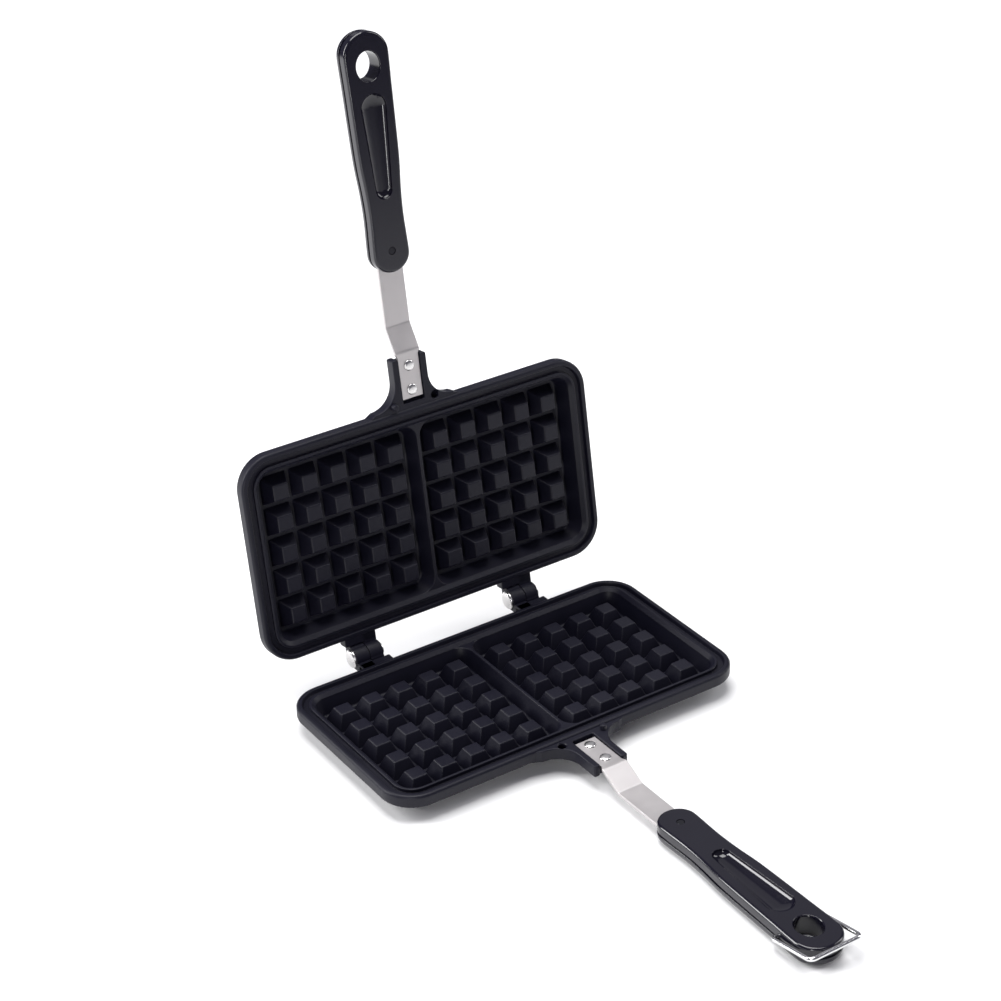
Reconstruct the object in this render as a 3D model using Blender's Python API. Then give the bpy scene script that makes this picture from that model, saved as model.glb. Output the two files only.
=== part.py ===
"""Stovetop waffle iron: two identical cast plates on a pair of pinned knuckle hinges.

Each plate carries a bent strap, riveted between the prongs of its ear, and a moulded handle.
A wire bail on the lower handle holds the two handles together.
Both halves are built in one half frame: its origin lies on the hinge axis in the parting plane,
+X runs along the hinge, -Y runs out along the handle and -Z is the outside of the plate.
"""

import math

import bmesh
import bpy
from mathutils import Matrix, Vector

# Waffle pattern of one compartment
PEG_PITCH = 0.0190
PEGS_ACROSS = 5
PEGS_ALONG = 5
PEG_BASE = 0.0168
PEG_HEIGHT = 0.0093
PEG_DROP = 0.0033
PEG_TIP = 0.0104
PEG_EDGE = 0.0006
FLOOR_MARGIN = 0.0020
DRAFT = math.radians(19.0)

# Cast plate around the compartments
COMPARTMENTS = 2
RIB_TOP = 0.0021
RIM_WIDTH = 0.0034
RIM_HEIGHT = 0.0076
RIM_ROUND = 0.0018
RIM_UNDER_ROUND = 0.0009
GROOVE_WIDTH = 0.0034
GROOVE_DEPTH = 0.0017
GROOVE_SIDE = 0.0005
LIP_WIDTH = 0.0042
LIP_DROP = 0.0009
LIP_ROUND = 0.0006
PLATE_CORNER = 0.0200
CAVITY_CORNER = 0.0090
FLOOR_FILLET = 0.0012
FLOOR_THICKNESS = 0.0029
WALL = 0.0032
FOOT_ROUND = 0.0015

# Ear that holds the strap
EAR_REACH = 0.0304
EAR_DROP = 0.0012
EAR_DEPTH = 0.0072
EAR_ROOT = 0.0018
EAR_BLEND = 0.0070
EAR_LAP = 0.0020
EAR_FILLET = 0.0150
PRONG_WIDTH = 0.0040
PRONG_ROUND = 0.0010
PRONG_CORNER = 0.0020
TONGUE_SETBACK = 0.0012
SLOT_SETBACK = 0.0030
STUD_OFFSET = 0.0140
STUD_SETBACK = 0.0034
STUD_RADIUS = 0.0019
STUD_RISE = 0.0020
STUD_EDGE = 0.0006
SOCKET_RADIUS = 0.0025
SOCKET_DEPTH = 0.0046

# Hinges
OPEN_ANGLE = math.radians(98.8)
HINGE_SETBACK = 0.01175
HINGE_OFFSET = 0.0550
KNUCKLE_RADIUS = 0.0062
KNUCKLE_LENGTH = 0.0088
LUG_DROP = 0.0005
LUG_HEIGHT = 0.0068
LUG_GAP = 0.0011
LUG_OVERHANG = 0.0030
STOP_LENGTH = 0.0070
STOP_HEEL = 0.0010
PIN_RADIUS = 0.0025
PIN_HEAD_RADIUS = 0.0056
PIN_HEAD_HEIGHT = 0.0022
PIN_DOME = 0.0005
CAP_RADIUS = 0.0042
CAP_HEIGHT = 0.0013
PIN_END = 0.0004

# Strap
STRAP_THICKNESS = 0.0020
STRAP_WIDTH = 0.0162
STRAP_TANG_WIDTH = 0.0138
STRAP_DROP = 0.0024
STRAP_STEP = 0.0069
STRAP_END_GAP = 0.0024
STRAP_TANG = 0.0281
STRAP_SLOPE = 0.0142
STRAP_NECK = 0.0323
STRAP_TAIL = 0.0370
STRAP_SHOULDER = 0.0022
STRAP_BEND = 0.0040
STRAP_EDGE = 0.0003

# Strap rivets
RIVET_RADIUS = 0.0018
RIVET_HEAD_RADIUS = 0.0033
RIVET_HEAD_HEIGHT = 0.0009
RIVET_DOME = 0.0005
RIVET_FIRST = 0.0049
RIVET_SPACING = 0.0146

# Moulded handle
HANDLE_LENGTH = 0.1376
HANDLE_HALF_WIDTH = 0.0143
HANDLE_THICKNESS = 0.0128
HANDLE_FACE_DROP = 0.0046
HANDLE_FACE_ROUND = 0.0014
HANDLE_BACK_ROUND = 0.0048
HANDLE_SEAM_DROP = 0.0052
HANDLE_SEAM_WIDTH = 0.0020
HANDLE_SEAM_DEPTH = 0.0008
HANDLE_SEAM_SIDE = 0.0004
EYE_FROM_TIP = 0.0193
EYE_HALF_WIDTH = 0.0074
EYE_HALF_LENGTH = 0.0084
EYE_FLARE = 0.0010
THUMB_START = 0.0430
THUMB_LENGTH = 0.0600
THUMB_NARROW = 0.0052
THUMB_WIDE = 0.0082
THUMB_DEPTH = 0.0034
THUMB_END_RUN = 0.0040

# Share of the handle's length, and share of its greatest half width there
HANDLE_WIDTH_SHARES = (
    (0.077, 0.81),
    (0.235, 0.765),
    (0.34, 0.80),
    (0.46, 0.895),
    (0.60, 0.935),
    (0.78, 0.97),
    (0.903, 1.0),
)

# Pin through each handle and its strap
FIX_SETBACK = 0.0128
FIX_RADIUS = 0.0022
FIX_REACH = 0.0110
FIX_SINK = 0.0004
FIX_EDGE = 0.0003

# Wire bail
WIRE_RADIUS = 0.0013
BAIL_CLEARANCE = 0.0008
BAIL_OVER = 0.0004
BAIL_BEND = 0.0032
BAIL_PIVOT_BEND = 0.0018
BAIL_PIVOT_DEPTH = 0.0062
BAIL_REST_RISE = 0.0058
BAIL_TIP_CLEARANCE = 0.0005
BAIL_PIN_REACH = 0.0066

# Clearances and fineness
GAP = 0.0003
RUNNING_GAP = 0.00008
OVERRUN = 0.0010
SINK = 0.0008
CORNER_STEPS = 7
ROUND_STEPS = 3
BACK_STEPS = 4
BEND_STEPS = 4
ARC_STEPS = 10
BODY_STEPS = 13
END_STEPS = 7
THUMB_STEPS = 4
CYLINDER_SIDES = 24
SMALL_SIDES = 16
WIRE_SIDES = 12
SMOOTH_ANGLE = math.radians(35.0)

# Sizes that follow from the driving dimensions
WALL_SLOPE = math.tan(DRAFT)
CAVITY_DEPTH = PEG_DROP + PEG_HEIGHT
PLATE_HEIGHT = CAVITY_DEPTH + FLOOR_THICKNESS
FLOOR_X = (PEGS_ACROSS - 1) * PEG_PITCH + PEG_BASE + 2 * FLOOR_MARGIN
FLOOR_Y = (PEGS_ALONG - 1) * PEG_PITCH + PEG_BASE + 2 * FLOOR_MARGIN
WALL_RUN = (CAVITY_DEPTH - LIP_DROP) * WALL_SLOPE
MOUTH_X = FLOOR_X + 2 * WALL_RUN
MOUTH_Y = FLOOR_Y + 2 * WALL_RUN
LIP_INSET = RIM_WIDTH + GROOVE_WIDTH + LIP_WIDTH
PLATE_WIDTH = COMPARTMENTS * MOUTH_X + (COMPARTMENTS - 1) * RIB_TOP + 2 * LIP_INSET
PLATE_DEPTH = MOUTH_Y + 2 * LIP_INSET
PLATE_Y = -(HINGE_SETBACK + PLATE_DEPTH / 2)
PLATE_FRONT = -(HINGE_SETBACK + PLATE_DEPTH)
SLOT_WIDTH = STRAP_TANG_WIDTH + 2 * GAP
EAR_WIDTH = SLOT_WIDTH + 2 * PRONG_WIDTH
SLOT_BACK = PLATE_FRONT - SLOT_SETBACK
TONGUE_DROP = STRAP_DROP + STRAP_THICKNESS + GAP
STRAP_START = SLOT_BACK - STRAP_END_GAP
FIRST_BEND = STRAP_START - STRAP_TANG
SECOND_BEND = FIRST_BEND - STRAP_SLOPE
HANDLE_START = SECOND_BEND - STRAP_NECK
HANDLE_TIP = HANDLE_START - HANDLE_LENGTH
STRAP_END = HANDLE_START - STRAP_TAIL
STRAP_LOW = STRAP_DROP + STRAP_STEP
PIN_BORE = PIN_RADIUS + RUNNING_GAP
KNUCKLE_SHIFT = (KNUCKLE_LENGTH + GAP) / 2
PIVOT_Z = -(HANDLE_FACE_DROP + BAIL_PIVOT_DEPTH)
BAIL_HALF_WIDTH = HANDLE_HALF_WIDTH + BAIL_CLEARANCE + WIRE_RADIUS
BAIL_LEG = BAIL_PIVOT_DEPTH + 2 * HANDLE_FACE_DROP + HANDLE_THICKNESS + WIRE_RADIUS + BAIL_OVER
BAIL_REST = math.asin(BAIL_REST_RISE / BAIL_LEG)
PIVOT_Y = HANDLE_TIP + BAIL_LEG * math.cos(BAIL_REST) - WIRE_RADIUS - BAIL_TIP_CLEARANCE


def clear_scene():
    """Start from an empty scene."""
    for obj in list(bpy.data.objects):
        bpy.data.objects.remove(obj, do_unlink=True)


def new_collection(name):
    """Add a collection to the scene."""
    collection = bpy.data.collections.new(name)
    bpy.context.scene.collection.children.link(collection)
    return collection


def new_material(name, colour, roughness, metallic):
    """Make a plain Principled material."""
    material = bpy.data.materials.new(name)
    material.use_nodes = True
    shader = material.node_tree.nodes["Principled BSDF"]
    shader.inputs["Base Color"].default_value = (*colour, 1.0)
    shader.inputs["Roughness"].default_value = roughness
    shader.inputs["Metallic"].default_value = metallic
    return material


def add_empty(name, parent, location, rotation, collection):
    """Add an empty that other objects hang from."""
    empty = bpy.data.objects.new(name, None)
    empty.parent = parent
    empty.location = location
    empty.rotation_euler = rotation
    collection.objects.link(empty)
    return empty


def add_part(name, shape, material, parent, collection):
    """Turn a bmesh into a named, smooth shaded piece under its frame."""
    bmesh.ops.recalc_face_normals(shape, faces=shape.faces)
    mesh = bpy.data.meshes.new(name)
    shape.to_mesh(mesh)
    shape.free()
    mesh.materials.append(material)
    mesh.shade_smooth()
    mesh.set_sharp_from_angle(angle=SMOOTH_ANGLE)
    obj = bpy.data.objects.new(name, mesh)
    obj.parent = parent
    collection.objects.link(obj)
    return obj


def add_tool(name, shape, parent, collection):
    """Turn a bmesh into a hidden shape that cuts or joins a piece."""
    bmesh.ops.recalc_face_normals(shape, faces=shape.faces)
    mesh = bpy.data.meshes.new(name)
    shape.to_mesh(mesh)
    shape.free()
    tool = bpy.data.objects.new(name, mesh)
    tool.parent = parent
    tool.hide_render = True
    tool.display_type = "WIRE"
    collection.objects.link(tool)
    return tool


def combine(obj, tool, operation):
    """Cut a tool from a piece, or join it to the piece."""
    modifier = obj.modifiers.new(tool.name, "BOOLEAN")
    modifier.operation = operation
    modifier.solver = "EXACT"
    modifier.object = tool


def copy_part(name, source, material, parent, collection):
    """Make a second piece from the finished mesh of the first."""
    graph = bpy.context.evaluated_depsgraph_get()
    mesh = bpy.data.meshes.new_from_object(source.evaluated_get(graph))
    mesh.name = name
    mesh.materials.clear()
    mesh.materials.append(material)
    obj = bpy.data.objects.new(name, mesh)
    obj.parent = parent
    collection.objects.link(obj)
    return obj


def loft(shape, rings):
    """Skin a stack of rings with the same number of points and cap both ends."""
    loops = [[shape.verts.new(point) for point in ring] for ring in rings]
    for first, second in zip(loops, loops[1:]):
        for here in range(len(first)):
            back = here - 1
            shape.faces.new((first[back], first[here], second[here], second[back]))
    shape.faces.new(loops[0])
    shape.faces.new(loops[-1])


def rounded_ring(half_x, half_y, radius, centre_x, centre_y, z):
    """Points of a rectangle with round corners, anticlockwise."""
    points = []
    quarter = math.pi / 2
    for corner, (side_x, side_y) in enumerate(((1, 1), (-1, 1), (-1, -1), (1, -1))):
        middle_x = centre_x + side_x * (half_x - radius)
        middle_y = centre_y + side_y * (half_y - radius)
        for step in range(CORNER_STEPS + 1):
            angle = quarter * (corner + step / CORNER_STEPS)
            points.append(Vector((middle_x + radius * math.cos(angle),
                                  middle_y + radius * math.sin(angle), z)))
    return points


def box(shape, low, high):
    """Add a box between two corners."""
    size = Vector(high) - Vector(low)
    middle = (Vector(high) + Vector(low)) / 2
    matrix = Matrix.Translation(middle) @ Matrix.Diagonal((*size, 1))
    return bmesh.ops.create_cube(shape, size=1, matrix=matrix)["verts"]


def cylinder(shape, radius, length, centre, axis, sides, end_radius=None):
    """Add a round bar along an axis, with its middle at centre."""
    turn = Vector((0, 0, 1)).rotation_difference(Vector(axis)).to_matrix().to_4x4()
    return bmesh.ops.create_cone(
        shape, cap_ends=True, segments=sides, radius1=radius,
        radius2=radius if end_radius is None else end_radius,
        depth=length, matrix=Matrix.Translation(centre) @ turn)["verts"]


def turned(shape, profile, origin, axis, sides):
    """Turn a profile of (radius, height) points about an axis through origin."""
    turn = Vector((0, 0, 1)).rotation_difference(Vector(axis)).to_matrix().to_4x4()
    place = Matrix.Translation(origin) @ turn
    rings = []
    for radius, height in profile:
        ring = []
        for side in range(sides):
            angle = 2 * math.pi * side / sides
            ring.append(place @ Vector((radius * math.cos(angle), radius * math.sin(angle), height)))
        rings.append(ring)
    loft(shape, rings)


def quarter_round(radius, steps):
    """Shares of a quarter turn as (run, rise) pairs, from flat to upright."""
    pairs = []
    for step in range(steps + 1):
        angle = math.pi / 2 * step / steps
        pairs.append((radius * (1 - math.sin(angle)), radius * (1 - math.cos(angle))))
    return pairs


def body_inset(z):
    """Inset of the pan's outer wall below the rim, one wall away from the cavity."""
    return LIP_INSET + (-z - LIP_DROP) * WALL_SLOPE - WALL / math.cos(DRAFT)


def plate_profile():
    """Insets and heights up the outside of the plate and over its rim to the lip."""
    rim_top = -GAP / 2
    foot_top = FOOT_ROUND - PLATE_HEIGHT
    groove_end = RIM_WIDTH + GROOVE_WIDTH
    profile = [(body_inset(-PLATE_HEIGHT) + FOOT_ROUND, -PLATE_HEIGHT)]
    profile.append((body_inset(foot_top), foot_top))
    profile.append((body_inset(-RIM_HEIGHT), -RIM_HEIGHT))
    profile.append((RIM_UNDER_ROUND, -RIM_HEIGHT))
    profile.append((0, RIM_UNDER_ROUND - RIM_HEIGHT))
    for run, rise in quarter_round(RIM_ROUND, ROUND_STEPS):
        profile.append((RIM_ROUND - run, rim_top - rise))
    profile[5:] = sorted(profile[5:], key=lambda pair: pair[1])
    profile.append((RIM_WIDTH, rim_top))
    profile.append((RIM_WIDTH + GROOVE_SIDE, -GROOVE_DEPTH))
    profile.append((groove_end - GROOVE_SIDE, -GROOVE_DEPTH))
    profile.append((groove_end, -LIP_DROP - LIP_ROUND))
    profile.append((groove_end + LIP_ROUND, -LIP_DROP))
    return profile


def plate_body():
    """Flat foot, tapered pan, flange, rim, groove and lip in one skin."""
    shape = bmesh.new()
    rings = []
    for inset, z in plate_profile():
        rings.append(rounded_ring(PLATE_WIDTH / 2 - inset, PLATE_DEPTH / 2 - inset,
                                  PLATE_CORNER - inset, 0, PLATE_Y, z))
    loft(shape, rings)
    return shape


def compartment_centres():
    """Middle of each compartment across the plate."""
    spacing = MOUTH_X + RIB_TOP
    return [spacing * (index - (COMPARTMENTS - 1) / 2) for index in range(COMPARTMENTS)]


def cavities():
    """Shapes that hollow the compartments out."""
    shape = bmesh.new()
    floor_round = FLOOR_FILLET * WALL_SLOPE
    profile = [(-LIP_ROUND, OVERRUN)]
    for run, rise in quarter_round(LIP_ROUND, ROUND_STEPS - 1):
        profile.append((-run, -LIP_DROP - (LIP_ROUND - rise)))
    profile[1:] = sorted(profile[1:], key=lambda pair: -pair[1])
    profile.append((WALL_RUN - floor_round, FLOOR_FILLET - CAVITY_DEPTH))
    profile.append((WALL_RUN + FLOOR_FILLET / 2, -CAVITY_DEPTH))
    for centre in compartment_centres():
        rings = []
        for inset, z in profile:
            rings.append(rounded_ring(MOUTH_X / 2 - inset, MOUTH_Y / 2 - inset,
                                      CAVITY_CORNER - inset, centre, PLATE_Y, z))
        loft(shape, rings)
    return shape


def square_ring(half, centre_x, centre_y, z):
    """Four corners of a square."""
    corners = ((1, 1), (-1, 1), (-1, -1), (1, -1))
    return [Vector((centre_x + sx * half, centre_y + sy * half, z)) for sx, sy in corners]


def pegs():
    """Blunt pyramids that stand on the floor of each compartment."""
    shape = bmesh.new()
    slope = (PEG_BASE - PEG_TIP) / 2 / PEG_HEIGHT
    floor = -CAVITY_DEPTH
    for centre in compartment_centres():
        for column in range(PEGS_ACROSS):
            for row in range(PEGS_ALONG):
                x = centre + (column - (PEGS_ACROSS - 1) / 2) * PEG_PITCH
                y = PLATE_Y + (row - (PEGS_ALONG - 1) / 2) * PEG_PITCH
                rings = [square_ring(PEG_BASE / 2 + SINK * slope, x, y, floor - SINK)]
                rings.append(square_ring(PEG_TIP / 2 + PEG_EDGE * slope, x, y, -PEG_DROP - PEG_EDGE))
                rings.append(square_ring(PEG_TIP / 2 - PEG_EDGE, x, y, -PEG_DROP))
                loft(shape, rings)
    return shape


def ear_ring(inset, z):
    """Outline of the ear: flared root, straight prongs and round tips."""
    half = EAR_WIDTH / 2
    tip = PLATE_FRONT - EAR_REACH
    flare_x = half + EAR_FILLET
    flare_y = PLATE_FRONT - EAR_ROOT - EAR_FILLET
    side = [(flare_x + EAR_BLEND, PLATE_FRONT + EAR_LAP)]
    for step in range(ARC_STEPS + 1):
        angle = math.pi / 2 * (1 + step / ARC_STEPS)
        reach = EAR_FILLET + inset
        side.append((flare_x + reach * math.cos(angle), flare_y + reach * math.sin(angle)))
    for step in range(ROUND_STEPS + 1):
        angle = -math.pi / 2 * step / ROUND_STEPS
        reach = PRONG_CORNER - inset
        side.append((half - PRONG_CORNER + reach * math.cos(angle),
                     tip + PRONG_CORNER + reach * math.sin(angle)))
    points = [Vector((x, y, z)) for x, y in side]
    points.extend(Vector((-x, y, z)) for x, y in reversed(side))
    return points


def ear():
    """Solid ear before its slot is cut."""
    shape = bmesh.new()
    top = -EAR_DROP
    bottom = top - EAR_DEPTH
    rings = []
    for run, rise in quarter_round(PRONG_ROUND, ROUND_STEPS - 1):
        rings.append(ear_ring(run, bottom + PRONG_ROUND - (PRONG_ROUND - rise)))
    rings.sort(key=lambda ring: ring[0].z)
    upper = []
    for run, rise in quarter_round(PRONG_ROUND, ROUND_STEPS - 1):
        upper.append(ear_ring(run, top - rise))
    upper.sort(key=lambda ring: ring[0].z)
    loft(shape, rings + upper)
    return shape


def hinge_centres():
    """Middle of each hinge across the plate."""
    return (-HINGE_OFFSET, HINGE_OFFSET)


def prism(shape, outline, low, high):
    """Add a bar along X whose section is a (y, z) outline."""
    loft(shape, [[Vector((x, y, z)) for y, z in outline] for x in (low, high)])


def lug_shelves():
    """Shelf of each hinge, whose rear edge the other plate's heel stops against."""
    shape = bmesh.new()
    low = -KNUCKLE_LENGTH - GAP / 2
    high = KNUCKLE_LENGTH + LUG_OVERHANG
    for centre in hinge_centres():
        box(shape, (centre + low, -HINGE_SETBACK - EAR_LAP, -LUG_DROP - LUG_HEIGHT),
            (centre + high, -KNUCKLE_RADIUS - LUG_GAP, -LUG_DROP))
    return shape


def knuckle_outline():
    """Section of the knuckle with its web in front and its stop heel behind."""
    radius = KNUCKLE_RADIUS
    stop = OPEN_ANGLE - math.pi / 2
    stop_axis = Vector((math.sin(stop), math.cos(stop)))
    along = Vector((math.cos(stop), -math.sin(stop)))
    heel_reach = radius + LUG_GAP - GAP
    front = -radius - LUG_GAP - SINK
    start = math.pi + math.asin(LUG_DROP / radius)
    finish = math.acos(radius * math.sin(stop) / heel_reach)
    outline = [(front, -LUG_DROP)]
    for step in range(ARC_STEPS + 1):
        angle = start + (finish - start) * step / ARC_STEPS
        outline.append((radius * math.cos(angle), radius * math.sin(angle)))
    for distance in (STOP_HEEL, STOP_LENGTH):
        corner = stop_axis * heel_reach + along * distance
        outline.append((corner.x, corner.y))
    outline.append((radius + STOP_HEEL, STOP_HEEL))
    for step in range(1, ARC_STEPS // 2 + 1):
        angle = -math.pi / 2 * step / (ARC_STEPS // 2)
        outline.append((radius * math.cos(angle), radius * math.sin(angle)))
    outline.append((front, -radius))
    return outline


def knuckles():
    """Barrel of each hinge on the plate's own side of the joint."""
    shape = bmesh.new()
    outline = knuckle_outline()
    for centre in hinge_centres():
        prism(shape, outline, centre - KNUCKLE_LENGTH - GAP / 2, centre - GAP / 2)
    return shape


def pin_bores():
    """Holes through the knuckles for the hinge pins."""
    shape = bmesh.new()
    for centre in hinge_centres():
        cylinder(shape, PIN_BORE, KNUCKLE_LENGTH + 2 * OVERRUN,
                 (centre - KNUCKLE_SHIFT, 0, 0), (1, 0, 0), CYLINDER_SIDES)
    return shape


def strap_slot():
    """Slot between the prongs that the strap drops into."""
    shape = bmesh.new()
    box(shape, (-SLOT_WIDTH / 2, PLATE_FRONT - EAR_REACH - OVERRUN, -TONGUE_DROP),
        (SLOT_WIDTH / 2, SLOT_BACK, OVERRUN))
    return shape


def tongue_end():
    """Gap at the prong tips where the strap bends away."""
    shape = bmesh.new()
    box(shape, (-SLOT_WIDTH / 2, PLATE_FRONT - EAR_REACH - OVERRUN, -PLATE_HEIGHT),
        (SLOT_WIDTH / 2, PLATE_FRONT - EAR_REACH + TONGUE_SETBACK, OVERRUN))
    return shape


def rivet_places():
    """Distances along the strap of its rivets."""
    first = STRAP_START - RIVET_FIRST
    return (first, first - RIVET_SPACING)


def rivet_holes():
    """Holes for the rivets through strap and tongue."""
    shape = bmesh.new()
    for y in rivet_places():
        cylinder(shape, RIVET_RADIUS + RUNNING_GAP, PLATE_HEIGHT * 2, (0, y, -PLATE_HEIGHT / 2),
                 (0, 0, 1), SMALL_SIDES)
    return shape


def stud():
    """Stud on one side of the ear that finds the socket in the other plate."""
    shape = bmesh.new()
    turned(shape, ((STUD_RADIUS, -EAR_DROP - SINK), (STUD_RADIUS, STUD_RISE - STUD_EDGE),
                   (STUD_RADIUS - STUD_EDGE, STUD_RISE)),
           (STUD_OFFSET, PLATE_FRONT - STUD_SETBACK, 0), (0, 0, 1), SMALL_SIDES)
    return shape


def socket():
    """Socket on the other side of the ear."""
    shape = bmesh.new()
    cylinder(shape, SOCKET_RADIUS, SOCKET_DEPTH + OVERRUN,
             (-STUD_OFFSET, PLATE_FRONT - STUD_SETBACK, -EAR_DROP - (SOCKET_DEPTH - OVERRUN) / 2),
             (0, 0, 1), SMALL_SIDES)
    return shape


def strap_line(reach):
    """Height and slope of the strap's middle at a distance out along it."""
    start_z = -STRAP_DROP - STRAP_THICKNESS / 2
    end_z = start_z - STRAP_STEP
    slope = math.atan2(STRAP_STEP, STRAP_SLOPE)
    setback = STRAP_BEND * math.tan(slope / 2)
    first = -FIRST_BEND - setback * 1
    last = -SECOND_BEND + setback
    if reach <= first:
        return start_z, 0.0
    if reach >= last:
        return end_z, 0.0
    turn_first = (reach - first) / STRAP_BEND
    if turn_first < math.sin(slope):
        return start_z - STRAP_BEND * (1 - math.sqrt(1 - turn_first ** 2)), math.asin(turn_first)
    turn_last = (last - reach) / STRAP_BEND
    if turn_last < math.sin(slope):
        return end_z + STRAP_BEND * (1 - math.sqrt(1 - turn_last ** 2)), math.asin(turn_last)
    return start_z - (reach + FIRST_BEND) * math.tan(slope), slope


def strap_stations():
    """Distances out along the strap where its section is drawn."""
    slope = math.atan2(STRAP_STEP, STRAP_SLOPE)
    setback = STRAP_BEND * math.tan(slope / 2)
    run = STRAP_BEND * math.sin(slope)
    shoulder = EAR_REACH - PLATE_FRONT + GAP
    first = -FIRST_BEND - setback
    last = -SECOND_BEND + setback
    stations = {-STRAP_START, -STRAP_END, shoulder, shoulder + STRAP_SHOULDER}
    for step in range(BEND_STEPS + 1):
        stations.add(first + run * step / BEND_STEPS)
        stations.add(last - run * step / BEND_STEPS)
    ordered = []
    for reach in sorted(stations):
        if not ordered or reach - ordered[-1] > GAP / 2:
            ordered.append(reach)
    return ordered, shoulder


def strap():
    """Flat bar bent down from the ear to the handle."""
    shape = bmesh.new()
    stations, shoulder = strap_stations()
    rings = []
    for reach in stations:
        middle, slope = strap_line(reach)
        share = min(max((reach - shoulder) / STRAP_SHOULDER, 0), 1)
        half = (STRAP_TANG_WIDTH + (STRAP_WIDTH - STRAP_TANG_WIDTH) * share) / 2
        up = Vector((0, -math.sin(slope), math.cos(slope)))
        centre = Vector((0, -reach, middle))
        ring = []
        for side, level in ((1, 1), (-1, 1), (-1, -1), (1, -1)):
            wide = Vector((side * half, 0, 0))
            thick = up * (level * STRAP_THICKNESS / 2)
            edge_x = Vector((side * STRAP_EDGE, 0, 0))
            edge_z = up * (level * STRAP_EDGE)
            pair = [centre + wide + thick - edge_z, centre + wide + thick - edge_x]
            if side * level < 0:
                pair.reverse()
            ring.extend(pair)
        rings.append(ring)
    loft(shape, rings)
    return shape


def dome_profile(radius, base, height, dome):
    """Profile of a low domed head above its seat."""
    return [(radius, base), (radius, base + height - dome),
            (radius - dome, base + height - dome / 4), (radius / 3, base + height)]


def rivet(y):
    """Solid rivet with a low dome on the strap and a set head under the tongue."""
    shape = bmesh.new()
    seat = GAP / 2 - STRAP_DROP
    under = -EAR_DROP - EAR_DEPTH - GAP / 2
    low = dome_profile(RIVET_HEAD_RADIUS, 0, RIVET_HEAD_HEIGHT, RIVET_DOME)
    profile = [(radius, under - height) for radius, height in reversed(low)]
    profile.append((RIVET_RADIUS, under))
    profile.append((RIVET_RADIUS, seat))
    profile.extend((radius, seat + height) for radius, height in low)
    turned(shape, profile, (0, y, 0), (0, 0, 1), SMALL_SIDES)
    return shape


def hinge_pin(centre):
    """Headed hinge pin, its plain end on the far side of the hinge."""
    shape = bmesh.new()
    seat = centre - KNUCKLE_LENGTH - GAP
    tail = centre + KNUCKLE_LENGTH + GAP + CAP_HEIGHT + PIN_END
    head = dome_profile(PIN_HEAD_RADIUS, 0, PIN_HEAD_HEIGHT, PIN_DOME * 2)
    profile = [(radius, seat - height) for radius, height in reversed(head)]
    profile.append((PIN_RADIUS, seat))
    profile.append((PIN_RADIUS, tail - PIN_DOME))
    profile.append((PIN_RADIUS - PIN_DOME, tail))
    turned(shape, profile, (0, 0, 0), (1, 0, 0), CYLINDER_SIDES)
    return shape


def hinge_cap(centre):
    """Ring pushed over the plain end of the pin."""
    shape = bmesh.new()
    seat = centre + KNUCKLE_LENGTH + GAP
    turned(shape, ((CAP_RADIUS, seat), (CAP_RADIUS, seat + CAP_HEIGHT - PIN_DOME),
                   (CAP_RADIUS - PIN_DOME, seat + CAP_HEIGHT)),
           (0, 0, 0), (1, 0, 0), CYLINDER_SIDES)
    return shape


def cap_bore(centre):
    """Hole through the ring."""
    shape = bmesh.new()
    cylinder(shape, PIN_BORE, CAP_HEIGHT + 2 * OVERRUN,
             (centre + KNUCKLE_LENGTH + GAP + CAP_HEIGHT / 2, 0, 0), (1, 0, 0), CYLINDER_SIDES)
    return shape


def handle_half_width(share):
    """Half width of the handle between its round ends."""
    knots = HANDLE_WIDTH_SHARES
    slopes = [0.0]
    for before, after in zip(knots, knots[2:]):
        slopes.append((after[1] - before[1]) / (after[0] - before[0]))
    slopes.append(0.0)
    for index in range(len(knots) - 1):
        low, high = knots[index], knots[index + 1]
        if share <= high[0]:
            break
    span = high[0] - low[0]
    t = (share - low[0]) / span
    rise = low[1] * (2 * t ** 3 - 3 * t ** 2 + 1) + high[1] * (3 * t ** 2 - 2 * t ** 3)
    lean = slopes[index] * (t ** 3 - 2 * t ** 2 + t) + slopes[index + 1] * (t ** 3 - t ** 2)
    return HANDLE_HALF_WIDTH * (rise + span * lean)


def handle_side():
    """Plan of one side of the handle, from the strap end to the tip."""
    first = HANDLE_WIDTH_SHARES[0][0]
    last = HANDLE_WIDTH_SHARES[-1][0]
    start_half = handle_half_width(first)
    end_half = handle_half_width(last)
    side = []
    for step in range(END_STEPS):
        angle = math.pi / 2 * step / END_STEPS
        side.append((start_half * math.sin(angle),
                     HANDLE_START - HANDLE_LENGTH * first * (1 - math.cos(angle))))
    for step in range(BODY_STEPS):
        share = first + (last - first) * step / BODY_STEPS
        side.append((handle_half_width(share), HANDLE_START - HANDLE_LENGTH * share))
    for step in range(END_STEPS + 1):
        angle = math.pi / 2 * step / END_STEPS
        side.append((end_half * math.cos(angle),
                     HANDLE_START - HANDLE_LENGTH * (last + (1 - last) * math.sin(angle))))
    return side


def inset_ring(outline, inset, z):
    """Closed outline drawn in along its normals."""
    ring = []
    count = len(outline)
    for index in range(count):
        before = Vector(outline[index - 1])
        after = Vector(outline[(index + 1) % count])
        along = (after - before).normalized()
        here = Vector(outline[index])
        point = here + Vector((along.y, -along.x)) * inset
        ring.append(Vector((point.x, point.y, z)))
    return ring


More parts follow.
